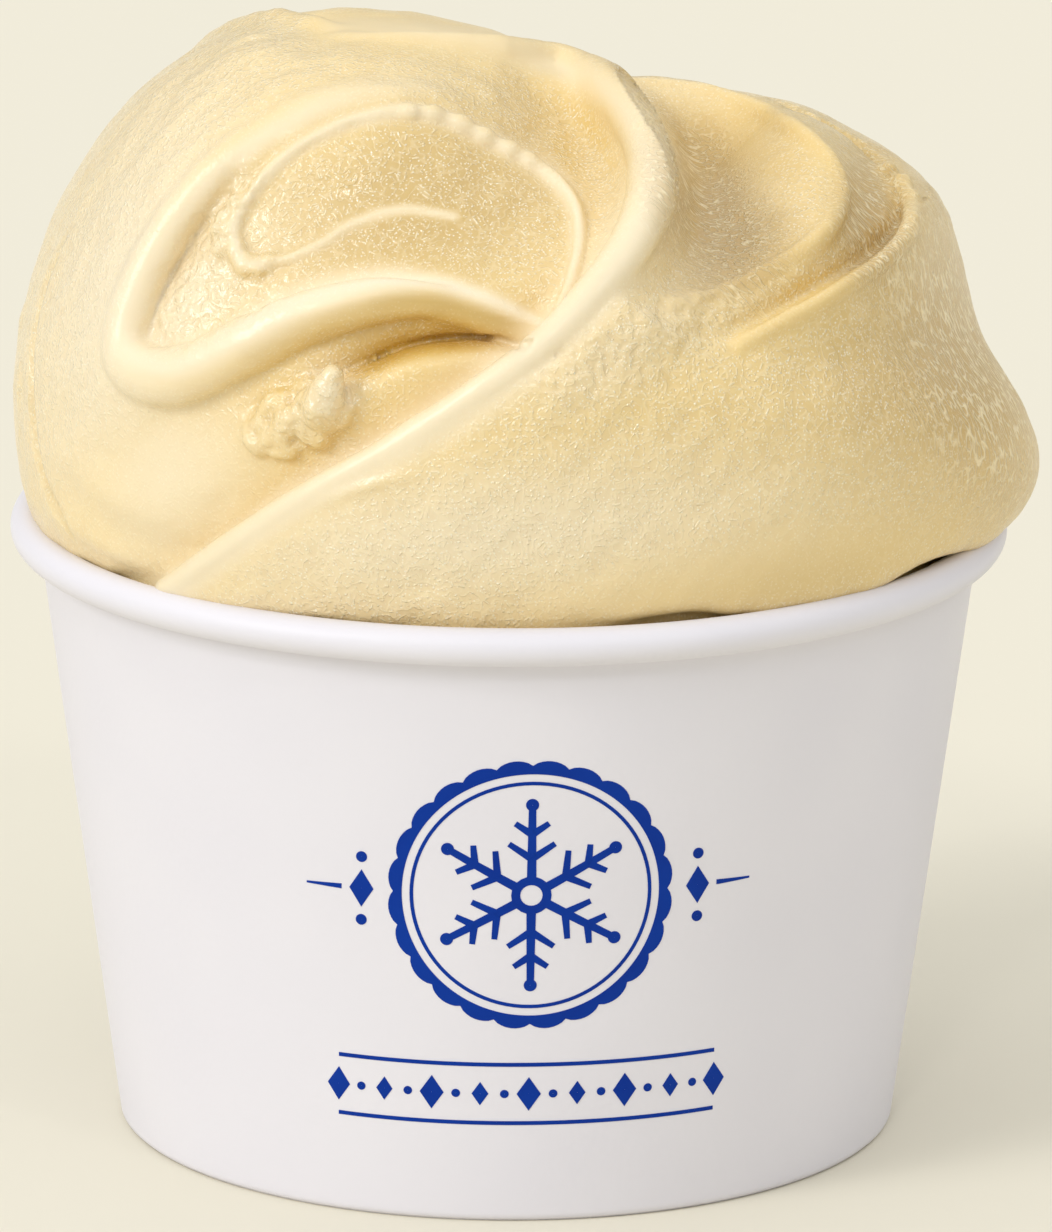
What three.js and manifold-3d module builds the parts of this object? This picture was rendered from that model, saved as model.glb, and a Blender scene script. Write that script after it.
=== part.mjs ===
// A paper cup heaped with one scoop of pale gelato, folded over itself with a spatula.
// Millimetres, +Z up. The serving side, where the folds show best, faces -Y. The cup and the
// gelato are worked out about the cup's axis, and the group at the end moves both sideways
// so that the origin is under the middle of the whole, on the surface that it stands on.

import * as THREE from "three";
import { mergeVertices } from "three/addons/utils/BufferGeometryUtils.js";
import Module from "manifold-3d";

const wasm = await Module();
wasm.setup();

// ---------------------------------------------------------------- driving dimensions

const CUP_HEIGHT = 60.5;
const RIM_DIAMETER = 96;
const FOOT_DIAMETER = 75;
const BEAD_DIAMETER = 3.6;
const WALL_INSET_UNDER_RIM = 2.6;
const PAPER_THICKNESS = 0.8;
const FOOT_FOLD_THICKNESS = 1.5;
const FOOT_FOLD_HEIGHT = 4.7;
const FLOOR_THICKNESS = 0.8;
const FIT_GAP = 0.3;

const MOUND_CENTRE = new THREE.Vector3(1.1, 0, 71.4);
const MOUND_TILT = THREE.MathUtils.degToRad(15);
const MOUND_FRONT_DEPTH = 46;
const MOUND_BACK_DEPTH = 45.5;

const CUP_SEGMENTS = 64;
const BEAD_SEGMENTS = 10;
const FRONT_CELL = 1.9;

// ---------------------------------------------------------------- derived sizes

const BEAD_RADIUS = BEAD_DIAMETER / 2;
const BEAD_CENTRE_RADIUS = RIM_DIAMETER / 2 - BEAD_RADIUS;
const BEAD_CENTRE_HEIGHT = CUP_HEIGHT - BEAD_RADIUS;
const FOOT_RADIUS = FOOT_DIAMETER / 2;
const WALL_TOP_RADIUS = RIM_DIAMETER / 2 - WALL_INSET_UNDER_RIM;
const WALL_SLOPE = (WALL_TOP_RADIUS - FOOT_RADIUS) / BEAD_CENTRE_HEIGHT;
const FLOOR_UNDERSIDE = FOOT_FOLD_HEIGHT + FIT_GAP;
const FLOOR_TOP = FLOOR_UNDERSIDE + FLOOR_THICKNESS;

const outerWallRadius = (z) => FOOT_RADIUS + WALL_SLOPE * z;
const innerWallRadius = (z) => outerWallRadius(z) - PAPER_THICKNESS;

// ---------------------------------------------------------------- the gelato's design
//
// The folds are laid out on a plane through the mound's centre that leans back by
// MOUND_TILT, as they look from SIGHT_DISTANCE in front of it: a runs to the right and
// b up the plane, from the mound's centre. SIGHT_POINT is the point looked at.

const SIGHT_DISTANCE = 1200;
const SIGHT_POINT = { a: 0.6, b: -21.3 };

// The mound's outline on the plane: angle from +a in degrees, and radius.
const OUTLINE = [
  [-150, 47.5], [-90, 43.5], [-45, 46.5], [-18, 48], [-7, 50.2], [8, 44.6], [28, 44],
  [45, 39.2], [62, 34.2], [78, 31.8], [95, 35.2], [120, 42.4], [140, 46.6], [165, 48.2],
  [187, 48.6],
];

// Where the spatula's last fold ends in a rolled crest, and how far it stands up there.
const CREST_PATH = [
  [-20, 36.4], [-8, 35.1], [2, 32.2], [8.6, 28], [11.7, 22], [11.2, 16.5], [7.4, 10.1],
  [1.1, 3.8], [-9.8, -3.8], [-21.6, -10.7], [-33.6, -19],
];
const CREST_HEIGHTS = [0.2, 1.0, 1.8, 2.6, 3.3, 3.2, 2.6, 2.3, 2.0, 1.8, 1.6];
const CREST_ROLL_RADIUS = 1.6;
const CREST_ROLL_SUNK = 0.1;
const CREST_BACK_SUNK = 0.3;

// Ridges and grooves: each follows a path, rises by `rise` (down where it is negative), and
// fades out over `left` and `right` of its direction, from a line `shift` to its left. The
// values of a list are spread evenly along the path.
const STROKES = {
  crestBack: {
    path: CREST_PATH,
    rise: CREST_HEIGHTS.map((height) => height - CREST_BACK_SUNK),
    left: [4, 4, 3.8, 3.8, 3.8, 4.5, 8, 11, 13, 11, 9],
    right: [4, 3.6, 3.4, 3.2, 3, 2.6, 1.8, 1.3, 1.3, 1.3, 1.3],
    shift: [0.3, 0.8, 1],
  },
  troughInsideCrest: {
    path: [[-6, 31], [2, 28], [7.4, 22], [7.2, 15.5], [4.6, 10.4], [2.4, 8]],
    rise: [-0.2, -0.6, -1.2, -1.8, -2.4, -3],
    left: [3, 2.6, 2],
    right: [4, 3.2, 3],
  },
  troughUnderCrest: {
    path: [[1.6, 5], [-5, 0.6], [-13, -4.2], [-23, -10.2], [-33, -17.6]],
    rise: [-1.4, -1.6, -1.3, -1.3, -1.3],
    left: [1.5],
    right: [4, 5],
  },
  recessUnderRoll: {
    path: [[2, 5.4], [-4, 6.1], [-10, 5.6], [-16, 4], [-23, 2.2], [-30, -1]],
    rise: [-3, -5.8, -6.2, -4.4, -2.2, -0.5],
    left: [1, 1.1, 1.2, 2, 2.5],
    right: [1.6, 2.4, 3, 3, 2.6],
  },
  outerThread: {
    path: [[-25.6, 12.2], [-27.3, 17.4], [-23.4, 22.4], [-15.6, 26.2], [-7, 26.6], [0, 23.4],
      [5.2, 18.4], [4.9, 13], [3.4, 8.3]],
    rise: [0.9, 1, 1, 1.1, 0.8, 1.1, 1.2, 1.2, 0.7],
    left: [0.8, 0.9, 1],
    right: [0.8, 1.2, 0.9],
  },
  innerThread: {
    path: [[-26.4, 12.2], [-22.5, 12.6], [-16, 16.2], [-9, 17.6], [-1.4, 15]],
    rise: [0.8, 0.9, 0.9, 0.6, 0.1],
    left: [0.8],
    right: [0.8, 1],
  },
  innerArc: {
    path: [[10.7, 3.2], [17.8, 7.5], [26.4, 12.7], [30.3, 19.3], [26.6, 26.2], [12, 31.6]],
    rise: [0, 0.7, 1.1, 1.4, 0.9, 0],
    left: [1.2, 1.5, 1],
    right: [2],
  },
  outerArc: {
    path: [[19.8, 4.2], [26, 7.5], [33.2, 12], [37.4, 18.4], [34.4, 23.2], [27, 27.4], [18, 30.6]],
    rise: [0, 1.1, 1.9, 2, 1.5, 0.8, 0.2],
    left: [0.9],
    right: [5, 4.5, 3],
  },
};

// Scooped dishes, and one low swelling: place, half lengths, turn in degrees, rise at the
// middle, and how flat the middle is.
const DISHES = {
  eye: { at: [-10, 16], half: [20, 8.5], turn: 22, rise: -3.4, flatness: 2.4 },
  eyeCorner: { at: [0.5, 12.5], half: [8, 5.5], turn: 70, rise: -3.6, flatness: 2 },
  scoopBesideCrest: { at: [19.5, 17.5], half: [8.5, 7], turn: -60, rise: -5, flatness: 2.2 },
  scoopBetweenArcs: { at: [32, 19.5], half: [4, 9], turn: 10, rise: -1.6, flatness: 2.2 },
  belly: { at: [-30, -4], half: [9, 6], turn: 30, rise: -0.8, flatness: 2 },
  scrapPatch: { at: [-18.3, -1], half: [4.2, 2.6], turn: 35, rise: 1, flatness: 2 },
};

// Round rolls that lie on the mound: `lift` is how far their middle is above its surface,
// and `blend` how softly they run into it.
const ROLLS = {
  hairpin: {
    path: [[-8, 29.2], [-20, 27.3], [-29, 21.6], [-35, 13.5], [-37.8, 6.2], [-37, 2.4],
      [-32.8, 1.4], [-26, 4.7], [-18, 8.6], [-11, 10], [-4, 9.4], [3, 8]],
    radius: [1, 2.1, 2.3, 2.3, 2.4, 2.7, 3, 3, 2.6, 2.3, 2, 1.6],
    lift: [-2.4, -1, -0.5, -0.2, -0.2, -0.1, -0.2, -0.6, -1.4, -2.6, -5, -7],
    blend: 2.4,
  },
  crest: {
    path: CREST_PATH,
    radius: [1, CREST_ROLL_RADIUS, CREST_ROLL_RADIUS],
    lift: CREST_HEIGHTS.map((height) => height - CREST_ROLL_RADIUS - CREST_ROLL_SUNK),
    blend: 2,
  },
  nub: {
    path: [[-19.6, -1.4], [-18.6, 0.6], [-17.5, 2.6]],
    radius: [2.4, 2, 1.4],
    lift: [0.4, 1.4, 2.6],
    blend: 2,
  },
};

// ---------------------------------------------------------------- small helpers

const SMOOTH_STEPS_PER_SPAN = 6;

function along(values, fraction) {
  const place = fraction * (values.length - 1);
  const index = Math.min(Math.floor(place), values.length - 2);
  if (values.length === 1) {
    return values[0];
  }
  return values[index] + (values[index + 1] - values[index]) * (place - index);
}

// The smaller of two values, rounded off over a width where they meet.
function smoothMin(first, second, width) {
  const share = THREE.MathUtils.clamp(0.5 + (0.5 * (second - first)) / width, 0, 1);
  return second + (first - second) * share - width * share * (1 - share);
}

function planeCurve(path) {
  return new THREE.SplineCurve(path.map(([a, b]) => new THREE.Vector2(a, b)));
}

// The nearest point of a polyline: its distance, how far along it is, and which side of it
// the point lies on, as +1 for left and -1 for right on the plane.
function nearestOnLine(point, line) {
  const nearest = { distance: Infinity, fraction: 0, side: 1 };
  const reach = new point.constructor();
  const step = new point.constructor();
  for (let index = 0; index < line.length - 1; index += 1) {
    step.subVectors(line[index + 1], line[index]);
    reach.subVectors(point, line[index]);
    const part = THREE.MathUtils.clamp(reach.dot(step) / step.lengthSq(), 0, 1);
    const side = step.x * reach.y - step.y * reach.x;
    const distance = reach.addScaledVector(step, -part).length();
    if (distance < nearest.distance) {
      nearest.distance = distance;
      nearest.fraction = (index + part) / (line.length - 1);
      nearest.side = side > 0 ? 1 : -1;
    }
  }
  return nearest;
}

// Three's 2-D vectors have no addScaledVector, so the plane's points are 3-D ones at z = 0.
function planeLine(path) {
  const count = (path.length - 1) * SMOOTH_STEPS_PER_SPAN;
  return planeCurve(path).getPoints(count).map((point) => new THREE.Vector3(point.x, point.y, 0));
}

// ---------------------------------------------------------------- the gelato's surface

const outlineCurve = new THREE.SplineCurve(
  [-1, ...OUTLINE.keys(), OUTLINE.length, OUTLINE.length + 1].map((index) => {
    const turns = Math.floor(index / OUTLINE.length);
    const [angle, radius] = OUTLINE[index - turns * OUTLINE.length];
    return new THREE.Vector2(THREE.MathUtils.degToRad(angle + 360 * turns), radius);
  }),
);

const OUTLINE_STEPS = 720;
const outlineTable = outlineCurve.getPoints(OUTLINE_STEPS);

function outlineRadius(angle) {
  const start = THREE.MathUtils.degToRad(OUTLINE[0][0]);
  const turned = THREE.MathUtils.euclideanModulo(angle - start, 2 * Math.PI) + start;
  const index = outlineTable.findIndex((point) => point.x > turned);
  const before = outlineTable[index - 1];
  const after = outlineTable[index];
  const part = (turned - before.x) / (after.x - before.x);
  return before.y + (after.y - before.y) * part;
}

// A plain lobed mound: how far a local point (a, b, w) is outside of it, along its radius.
function plainMound(point) {
  const outline = outlineRadius(Math.atan2(point.y, point.x));
  const depth = point.z > 0 ? MOUND_FRONT_DEPTH : MOUND_BACK_DEPTH;
  const share = Math.hypot(point.x / outline, point.y / outline, point.z / depth);
  return point.length() * (1 - 1 / share);
}

function strokeHeight(stroke, point) {
  const { distance, fraction, side } = nearestOnLine(point, stroke.line);
  const offset = distance * side - along(stroke.shift ?? [0], fraction);
  const width = along(offset > 0 ? stroke.left : stroke.right, fraction);
  return along(stroke.rise, fraction) * Math.exp(-((offset / width) ** 2));
}

function dishHeight(dish, point) {
  const turn = THREE.MathUtils.degToRad(dish.turn);
  const a = point.x - dish.at[0];
  const b = point.y - dish.at[1];
  const lengthwise = (a * Math.cos(turn) + b * Math.sin(turn)) / dish.half[0];
  const crosswise = (b * Math.cos(turn) - a * Math.sin(turn)) / dish.half[1];
  return dish.rise * Math.exp(-(Math.hypot(lengthwise, crosswise) ** dish.flatness));
}

// Where a local point appears on the plane, and the point of the plain mound seen at a place.
function seenPlace(point) {
  const scale = 1 / (1 - point.z / SIGHT_DISTANCE);
  const a = SIGHT_POINT.a + (point.x - SIGHT_POINT.a) * scale;
  const b = SIGHT_POINT.b + (point.y - SIGHT_POINT.b) * scale;
  return new THREE.Vector3(a, b, 0);
}

const SIGHT_ROUNDS = 4;

function pointSeenAt(place, lift) {
  const point = new THREE.Vector3();
  for (let round = 0; round < SIGHT_ROUNDS; round += 1) {
    const scale = 1 - point.z / SIGHT_DISTANCE;
    point.x = SIGHT_POINT.a + (place.x - SIGHT_POINT.a) * scale;
    point.y = SIGHT_POINT.b + (place.y - SIGHT_POINT.b) * scale;
    const share = Math.hypot(point.x, point.y) / outlineRadius(Math.atan2(point.y, point.x));
    point.z = MOUND_FRONT_DEPTH * Math.sqrt(Math.max(0, 1 - share * share));
  }
  return point.setLength(point.length() + lift);
}

for (const stroke of Object.values(STROKES)) {
  stroke.line = planeLine(stroke.path);
}
for (const roll of Object.values(ROLLS)) {
  const line = planeLine(roll.path);
  roll.line = line.map((place, index) => pointSeenAt(place, along(roll.lift, index / (line.length - 1))));
}

// The folds fade out behind the mound's widest section.
const FADE_START = -4;
const FADE_END = 8;

function gelatoSurface(point) {
  const place = seenPlace(point);
  let relief = 0;
  for (const stroke of Object.values(STROKES)) {
    relief += strokeHeight(stroke, place);
  }
  for (const dish of Object.values(DISHES)) {
    relief += dishHeight(dish, place);
  }
  const facing = THREE.MathUtils.smoothstep(point.z, FADE_START, FADE_END);
  let outside = plainMound(point) - relief * facing;
  for (const roll of Object.values(ROLLS)) {
    const { distance, fraction } = nearestOnLine(point, roll.line);
    outside = smoothMin(outside, distance - along(roll.radius, fraction), roll.blend);
  }
  return outside;
}

// ---------------------------------------------------------------- geometry and solids

const MERGE_TOLERANCE = 1e-4;

function bareGeometry(geometry) {
  geometry.deleteAttribute("normal");
  geometry.deleteAttribute("uv");
  return mergeVertices(geometry, MERGE_TOLERANCE);
}

// A body of revolution about +Z, from a profile of [radius, height] points.
function turned(profile, segments = CUP_SEGMENTS) {
  const points = profile.map(([radius, height]) => new THREE.Vector2(radius, height));
  return new THREE.LatheGeometry(points, segments).rotateX(Math.PI / 2);
}

function toSolid(geometry) {
  const bare = bareGeometry(geometry);
  const corners = Array.from(bare.index.array);
  const triangles = [];
  for (let start = 0; start < corners.length; start += 3) {
    const [first, second, third] = corners.slice(start, start + 3);
    if (first !== second && second !== third && third !== first) {
      triangles.push(first, second, third);
    }
  }
  return new wasm.Manifold(new wasm.Mesh({
    numProp: 3,
    vertProperties: new Float32Array(bare.attributes.position.array),
    triVerts: new Uint32Array(triangles),
  }));
}

function toGeometry(solid) {
  const mesh = solid.getMesh();
  const geometry = new THREE.BufferGeometry();
  geometry.setAttribute("position", new THREE.BufferAttribute(mesh.vertProperties, 3));
  geometry.setIndex(new THREE.BufferAttribute(mesh.triVerts, 1));
  return geometry;
}

// ---------------------------------------------------------------- the cup

function circlePoints(centreRadius, centreHeight, radius, startDegrees, endDegrees, count) {
  return Array.from({ length: count + 1 }, (_, index) => {
    const degrees = startDegrees + ((endDegrees - startDegrees) * index) / count;
    const angle = THREE.MathUtils.degToRad(degrees);
    return [centreRadius + radius * Math.cos(angle), centreHeight + radius * Math.sin(angle)];
  });
}

const BEAD_START = -116;
const BEAD_END = 207;
const FOOT_ROUNDING = 0.4;

function cupWallProfile() {
  const bead = circlePoints(
    BEAD_CENTRE_RADIUS, BEAD_CENTRE_HEIGHT, BEAD_RADIUS, BEAD_START, BEAD_END, BEAD_SEGMENTS,
  );
  const foldRadius = FOOT_RADIUS - FOOT_FOLD_THICKNESS;
  const footStart = [FOOT_RADIUS - FOOT_ROUNDING, 0];
  return [
    footStart,
    [outerWallRadius(FOOT_ROUNDING), FOOT_ROUNDING],
    ...bead,
    [innerWallRadius(FOOT_FOLD_HEIGHT), FOOT_FOLD_HEIGHT],
    [foldRadius, FOOT_FOLD_HEIGHT],
    [foldRadius, 0],
    footStart,
  ];
}

function cupFloorProfile() {
  return [
    [0, FLOOR_UNDERSIDE],
    [innerWallRadius(FLOOR_UNDERSIDE) - FIT_GAP, FLOOR_UNDERSIDE],
    [innerWallRadius(FLOOR_UNDERSIDE) - FIT_GAP, FLOOR_TOP],
    [0, FLOOR_TOP],
  ];
}

// ---------------------------------------------------------------- the gelato

// The mound is sampled on a lattice in its own tilted frame. The lattice is FRONT_CELL fine
// over the folds in front and spreads out evenly behind SPREAD_START, counted from the front.
const LATTICE_WIDTH = 108;
const LATTICE_HEIGHT = 88;
const LATTICE_LENGTH = 76;
const LATTICE_FRONT = 52;
const SPREAD_START = 26;
const SPREAD_RATE = 0.014;

const latticeCounts = [LATTICE_WIDTH, LATTICE_HEIGHT, LATTICE_LENGTH].map((size) => {
  return Math.ceil(size / FRONT_CELL);
});

function latticePoint([i, j, k]) {
  const run = (latticeCounts[2] - k) * FRONT_CELL;
  const spread = Math.max(0, run - SPREAD_START);
  const scale = 1 + 2 * SPREAD_RATE * spread;
  return new THREE.Vector3(
    (i - latticeCounts[0] / 2) * FRONT_CELL * scale,
    (j - latticeCounts[1] / 2) * FRONT_CELL * scale,
    LATTICE_FRONT - run - SPREAD_RATE * spread ** 2,
  );
}

// The mound is closed off flat at a height where the cup's filling surrounds it.
const MOUND_BOTTOM = 52;
const DEEPEST_FOLD = 13;

function moundOutside(point) {
  const plain = plainMound(point);
  const height = MOUND_CENTRE.z + point.y * Math.cos(MOUND_TILT) + point.z * Math.sin(MOUND_TILT);
  const outside = Math.abs(plain) > DEEPEST_FOLD ? plain : gelatoSurface(point);
  return Math.max(outside, MOUND_BOTTOM - height);
}

// Fills the gaps at which two parts of the inside would touch only along an edge: of the four
// corners of such a cell face, the outside one that is nearest to the surface goes inside.
const FILLED = -0.05;
const FILL_ROUNDS = 8;

function fillPinchedGaps(samples, strides) {
  for (let round = 0; round < FILL_ROUNDS; round += 1) {
    for (let axis = 0; axis < 3; axis += 1) {
      const [second, third] = [strides[(axis + 1) % 3], strides[(axis + 2) % 3]];
      for (let corner = 0; corner + second + third < samples.length; corner += 1) {
        const face = [corner, corner + second, corner + second + third, corner + third];
        const inside = face.map((index) => samples[index] < 0);
        if (inside[0] === inside[2] && inside[1] === inside[3] && inside[0] !== inside[1]) {
          const outer = face.filter((index) => samples[index] >= 0);
          const nearer = samples[outer[0]] < samples[outer[1]] ? outer[0] : outer[1];
          samples[nearer] = FILLED;
        }
      }
    }
  }
}

// The surface where a function of a point changes sign, as one vertex in each cell that it
// crosses, at the mean of its crossings of the cell's edges, and one quad for each crossing.
// `counts` is the number of cells each way, and `pointOf` places the lattice's corners.
function surfaceNet(outsideAt, counts, pointOf) {
  const strides = [1, counts[0] + 1, (counts[0] + 1) * (counts[1] + 1)];
  const cornerOf = (place) => place[0] + place[1] * strides[1] + place[2] * strides[2];
  const places = [];
  for (let k = 0; k <= counts[2]; k += 1) {
    for (let j = 0; j <= counts[1]; j += 1) {
      for (let i = 0; i <= counts[0]; i += 1) {
        places.push([i, j, k]);
      }
    }
  }
  const samples = places.map((place) => outsideAt(pointOf(place)));
  fillPinchedGaps(samples, strides);

  const crossings = [];
  const sums = new Map();
  for (const place of places) {
    const corner = cornerOf(place);
    for (let axis = 0; axis < 3; axis += 1) {
      const inGrid = place[axis] < counts[axis];
      const next = corner + strides[axis];
      if (inGrid && samples[corner] < 0 !== samples[next] < 0) {
        const [second, third] = [strides[(axis + 1) % 3], strides[(axis + 2) % 3]];
        const ring = [corner - second - third, corner - third, corner, corner - second];
        const crossing = [...place];
        crossing[axis] += samples[corner] / (samples[corner] - samples[next]);
        const point = pointOf(crossing);
        for (const cellCorner of ring) {
          const sum = sums.get(cellCorner) ?? { total: new THREE.Vector3(), count: 0 };
          sum.total.add(point);
          sum.count += 1;
          sums.set(cellCorner, sum);
        }
        crossings.push(samples[corner] < 0 ? ring : ring.reverse());
      }
    }
  }

  const vertices = new Map([...sums].map(([corner, sum], index) => {
    return [corner, { index, point: sum.total.divideScalar(sum.count) }];
  }));
  const triangles = crossings.flatMap((ring) => {
    const [p, q, r, t] = ring.map((corner) => vertices.get(corner));
    const straight = p.point.distanceTo(r.point) < q.point.distanceTo(t.point);
    const corners = straight ? [p, q, r, p, r, t] : [q, r, t, q, t, p];
    return corners.map((corner) => corner.index);
  });
  const geometry = new THREE.BufferGeometry();
  geometry.setFromPoints([...vertices.values()].map(({ point }) => point));
  geometry.setIndex(triangles);
  return geometry;
}

function moundGeometry() {
  const geometry = surfaceNet(moundOutside, latticeCounts, latticePoint);
  geometry.rotateX(Math.PI / 2 - MOUND_TILT);
  return geometry.translate(MOUND_CENTRE.x, MOUND_CENTRE.y, MOUND_CENTRE.z);
}

const PLUG_TOP = CUP_HEIGHT;
const SPACE_RADIUS = 70;
const SPACE_TOP = 130;
const CLEARANCE_START = 190;
const CLEARANCE_END = 85;

// What fills the cup below its rim.
function plugProfile() {
  const bottom = FLOOR_TOP + FIT_GAP;
  const topRadius = BEAD_CENTRE_RADIUS - BEAD_RADIUS - FIT_GAP;
  return [
    [0, bottom],
    [innerWallRadius(bottom) - FIT_GAP, bottom],
    [topRadius, BEAD_CENTRE_HEIGHT],
    [topRadius, PLUG_TOP],
    [0, PLUG_TOP],
  ];
}

// The space that the cup leaves to the gelato: inside its wall, and above its rim.
function spaceProfile() {
  const bottom = FLOOR_TOP + FIT_GAP;
  const overBead = circlePoints(
    BEAD_CENTRE_RADIUS, BEAD_CENTRE_HEIGHT, BEAD_RADIUS + FIT_GAP,
    CLEARANCE_START, CLEARANCE_END, BEAD_SEGMENTS,
  );
  return [
    [0, bottom],
    [innerWallRadius(bottom) - FIT_GAP, bottom],
    ...overBead,
    [SPACE_RADIUS, CUP_HEIGHT + FIT_GAP],
    [SPACE_RADIUS, SPACE_TOP],
    [0, SPACE_TOP],
  ];
}

function gelatoGeometry() {
  const mound = toSolid(moundGeometry());
  const plug = toSolid(turned(plugProfile()));
  const space = toSolid(turned(spaceProfile()));
  return toGeometry(mound.add(plug).intersect(space));
}

// ---------------------------------------------------------------- materials and meshes

const paper = new THREE.MeshStandardMaterial({ color: "#f2f1ee", roughness: 0.55, metalness: 0 });
const uncoatedPaper = new THREE.MeshStandardMaterial({ color: "#ecebe6", roughness: 0.8, metalness: 0 });
const gelatoCream = new THREE.MeshStandardMaterial({ color: "#f3e3b3", roughness: 0.42, metalness: 0 });

function piece(name, geometry, material) {
  const mesh = new THREE.Mesh(geometry, material);
  mesh.name = name;
  return mesh;
}

const gelatoCup = new THREE.Group();
gelatoCup.add(
  piece("cup_wall", turned(cupWallProfile()), paper),
  piece("cup_floor", turned(cupFloorProfile()), uncoatedPaper),
  piece("gelato", gelatoGeometry(), gelatoCream),
);

const middle = new THREE.Box3().setFromObject(gelatoCup).getCenter(new THREE.Vector3());
gelatoCup.position.set(-middle.x, -middle.y, 0);

export default gelatoCup;
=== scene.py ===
"""The looks of a paper cup heaped with one scoop of pale gelato, folded over itself with a spatula.

The shapes are worked out in millimetres about the cup's axis, +Z up and -Y towards the
viewer, and go into the frame in metres. The gelato is a field, negative inside, whose surface
is meshed on a lattice; its folds are laid out on a plane through the mound's centre.
"""

from math import ceil, cos, pi, radians, sin, sqrt

import bpy
import numpy as np
from mathutils import Matrix, Vector


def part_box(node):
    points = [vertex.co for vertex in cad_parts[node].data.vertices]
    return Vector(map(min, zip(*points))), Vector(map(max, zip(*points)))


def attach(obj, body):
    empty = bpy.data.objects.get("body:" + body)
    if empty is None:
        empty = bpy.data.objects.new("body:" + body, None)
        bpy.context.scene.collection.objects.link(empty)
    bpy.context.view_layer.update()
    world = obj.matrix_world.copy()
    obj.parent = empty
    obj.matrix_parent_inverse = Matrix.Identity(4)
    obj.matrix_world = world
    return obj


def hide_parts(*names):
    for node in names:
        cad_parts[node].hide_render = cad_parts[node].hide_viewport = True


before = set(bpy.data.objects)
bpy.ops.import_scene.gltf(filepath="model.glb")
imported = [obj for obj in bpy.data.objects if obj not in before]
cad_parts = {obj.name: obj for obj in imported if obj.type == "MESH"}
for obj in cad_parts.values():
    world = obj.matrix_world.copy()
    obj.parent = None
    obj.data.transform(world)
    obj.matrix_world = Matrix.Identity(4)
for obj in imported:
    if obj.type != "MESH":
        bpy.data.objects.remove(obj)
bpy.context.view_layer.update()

MM = 0.001
wall_low, wall_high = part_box("cup_wall")
CUP_AXIS = np.array([(wall_low[0] + wall_high[0]) / 2, (wall_low[1] + wall_high[1]) / 2, 0.0])

# ---- driving dimensions, in mm

CUP_HEIGHT = 60.5
RIM_RADIUS = 48.0
FOOT_RADIUS = 37.5
BEAD_RADIUS = 1.8
WALL_INSET_UNDER_RIM = 2.6
PAPER = 0.8
FOOT_FOLD_THICKNESS = 1.5
FOOT_FOLD_HEIGHT = 4.7
FLOOR_THICKNESS = 0.8
FIT_GAP = 0.3

BEAD_CENTRE_RADIUS = RIM_RADIUS - BEAD_RADIUS
BEAD_CENTRE_HEIGHT = CUP_HEIGHT - BEAD_RADIUS
WALL_SLOPE = (RIM_RADIUS - WALL_INSET_UNDER_RIM - FOOT_RADIUS) / BEAD_CENTRE_HEIGHT
FLOOR_UNDERSIDE = FOOT_FOLD_HEIGHT + FIT_GAP
GELATO_BOTTOM = FLOOR_UNDERSIDE + FLOOR_THICKNESS + FIT_GAP

MOUND_CENTRE = np.array([1.1, 0.0, 71.4])
MOUND_TILT = radians(15)
MOUND_FRONT_DEPTH = 46.0
MOUND_BACK_DEPTH = 45.5

ALONG_A = np.array([1.0, 0.0, 0.0])
ALONG_B = np.array([0.0, sin(MOUND_TILT), cos(MOUND_TILT)])
ALONG_W = np.array([0.0, -cos(MOUND_TILT), sin(MOUND_TILT)])

# The folds' plane is laid out as it looks from this far in front of it, at this point.
SIGHT_DISTANCE = 1200.0
SIGHT_A, SIGHT_B = 0.6, -21.3

# The mound's outline on the plane: angle from +a in degrees, and radius.
OUTLINE = [
    (-150, 47.5), (-90, 43.5), (-45, 46.5), (-18, 48), (-7, 50.2), (8, 44.6), (28, 44),
    (45, 39.2), (62, 34.2), (78, 31.8), (95, 35.2), (120, 42.4), (140, 46.6), (165, 48.2),
    (187, 48.6),
]

CREST_PATH = [
    (-19, 35.4), (-8, 34.6), (2.4, 32.2), (8.7, 28.4), (11.9, 23.5), (12.1, 18.6), (10.3, 14.1),
    (7, 9.7), (1.1, 3.8), (-9.8, -3.8), (-21.6, -10.7), (-33.6, -19),
]
CREST_HEIGHTS = [-0.9, 0.2, 1.5, 2.8, 3.6, 3.6, 3.2, 2.9, 2.7, 2.5, 2.3, 2.0]
CREST_BACK_STEPS = [0.9] * 6 + [0.7, 0.5] + [0.4] * 4
CREST_ROLL_DEPTHS = [1.7, 1.7, 1.9, 2.2, 2.3, 2.2, 2, 1.8] + [1.7] * 4
HAIRPIN_PATH = [
    (-6, 29.4), (-13, 29.2), (-20, 27.3), (-29, 21.4), (-35, 13.5), (-37.8, 6.2), (-37, 2.4),
    (-32.8, 1.6), (-26.4, 4.6), (-21.2, 7.3), (-14.8, 9.2), (-9.9, 9.5), (-5.8, 8.7), (-1.9, 7.2),
    (2, 5.4),
]
ARM_FOOT_PATH = [
    (-27.4, 21.2), (-29.5, 19.7), (-31.5, 16.2), (-33.2, 12.9), (-35, 9.9), (-36, 7.1), (-35, 5),
]
INSIDE_ARM_PATH = [(-26.4, 20.4), (-28.4, 18), (-30, 14.6), (-31.8, 10.6), (-33.4, 7)]
CREASE_PATH = [(-0.4, 4.9), (-1.9, 5.5), (-6.9, 5.4), (-10.8, 4.8), (-13.8, 3.6), (-16.6, 2.4)]
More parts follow.
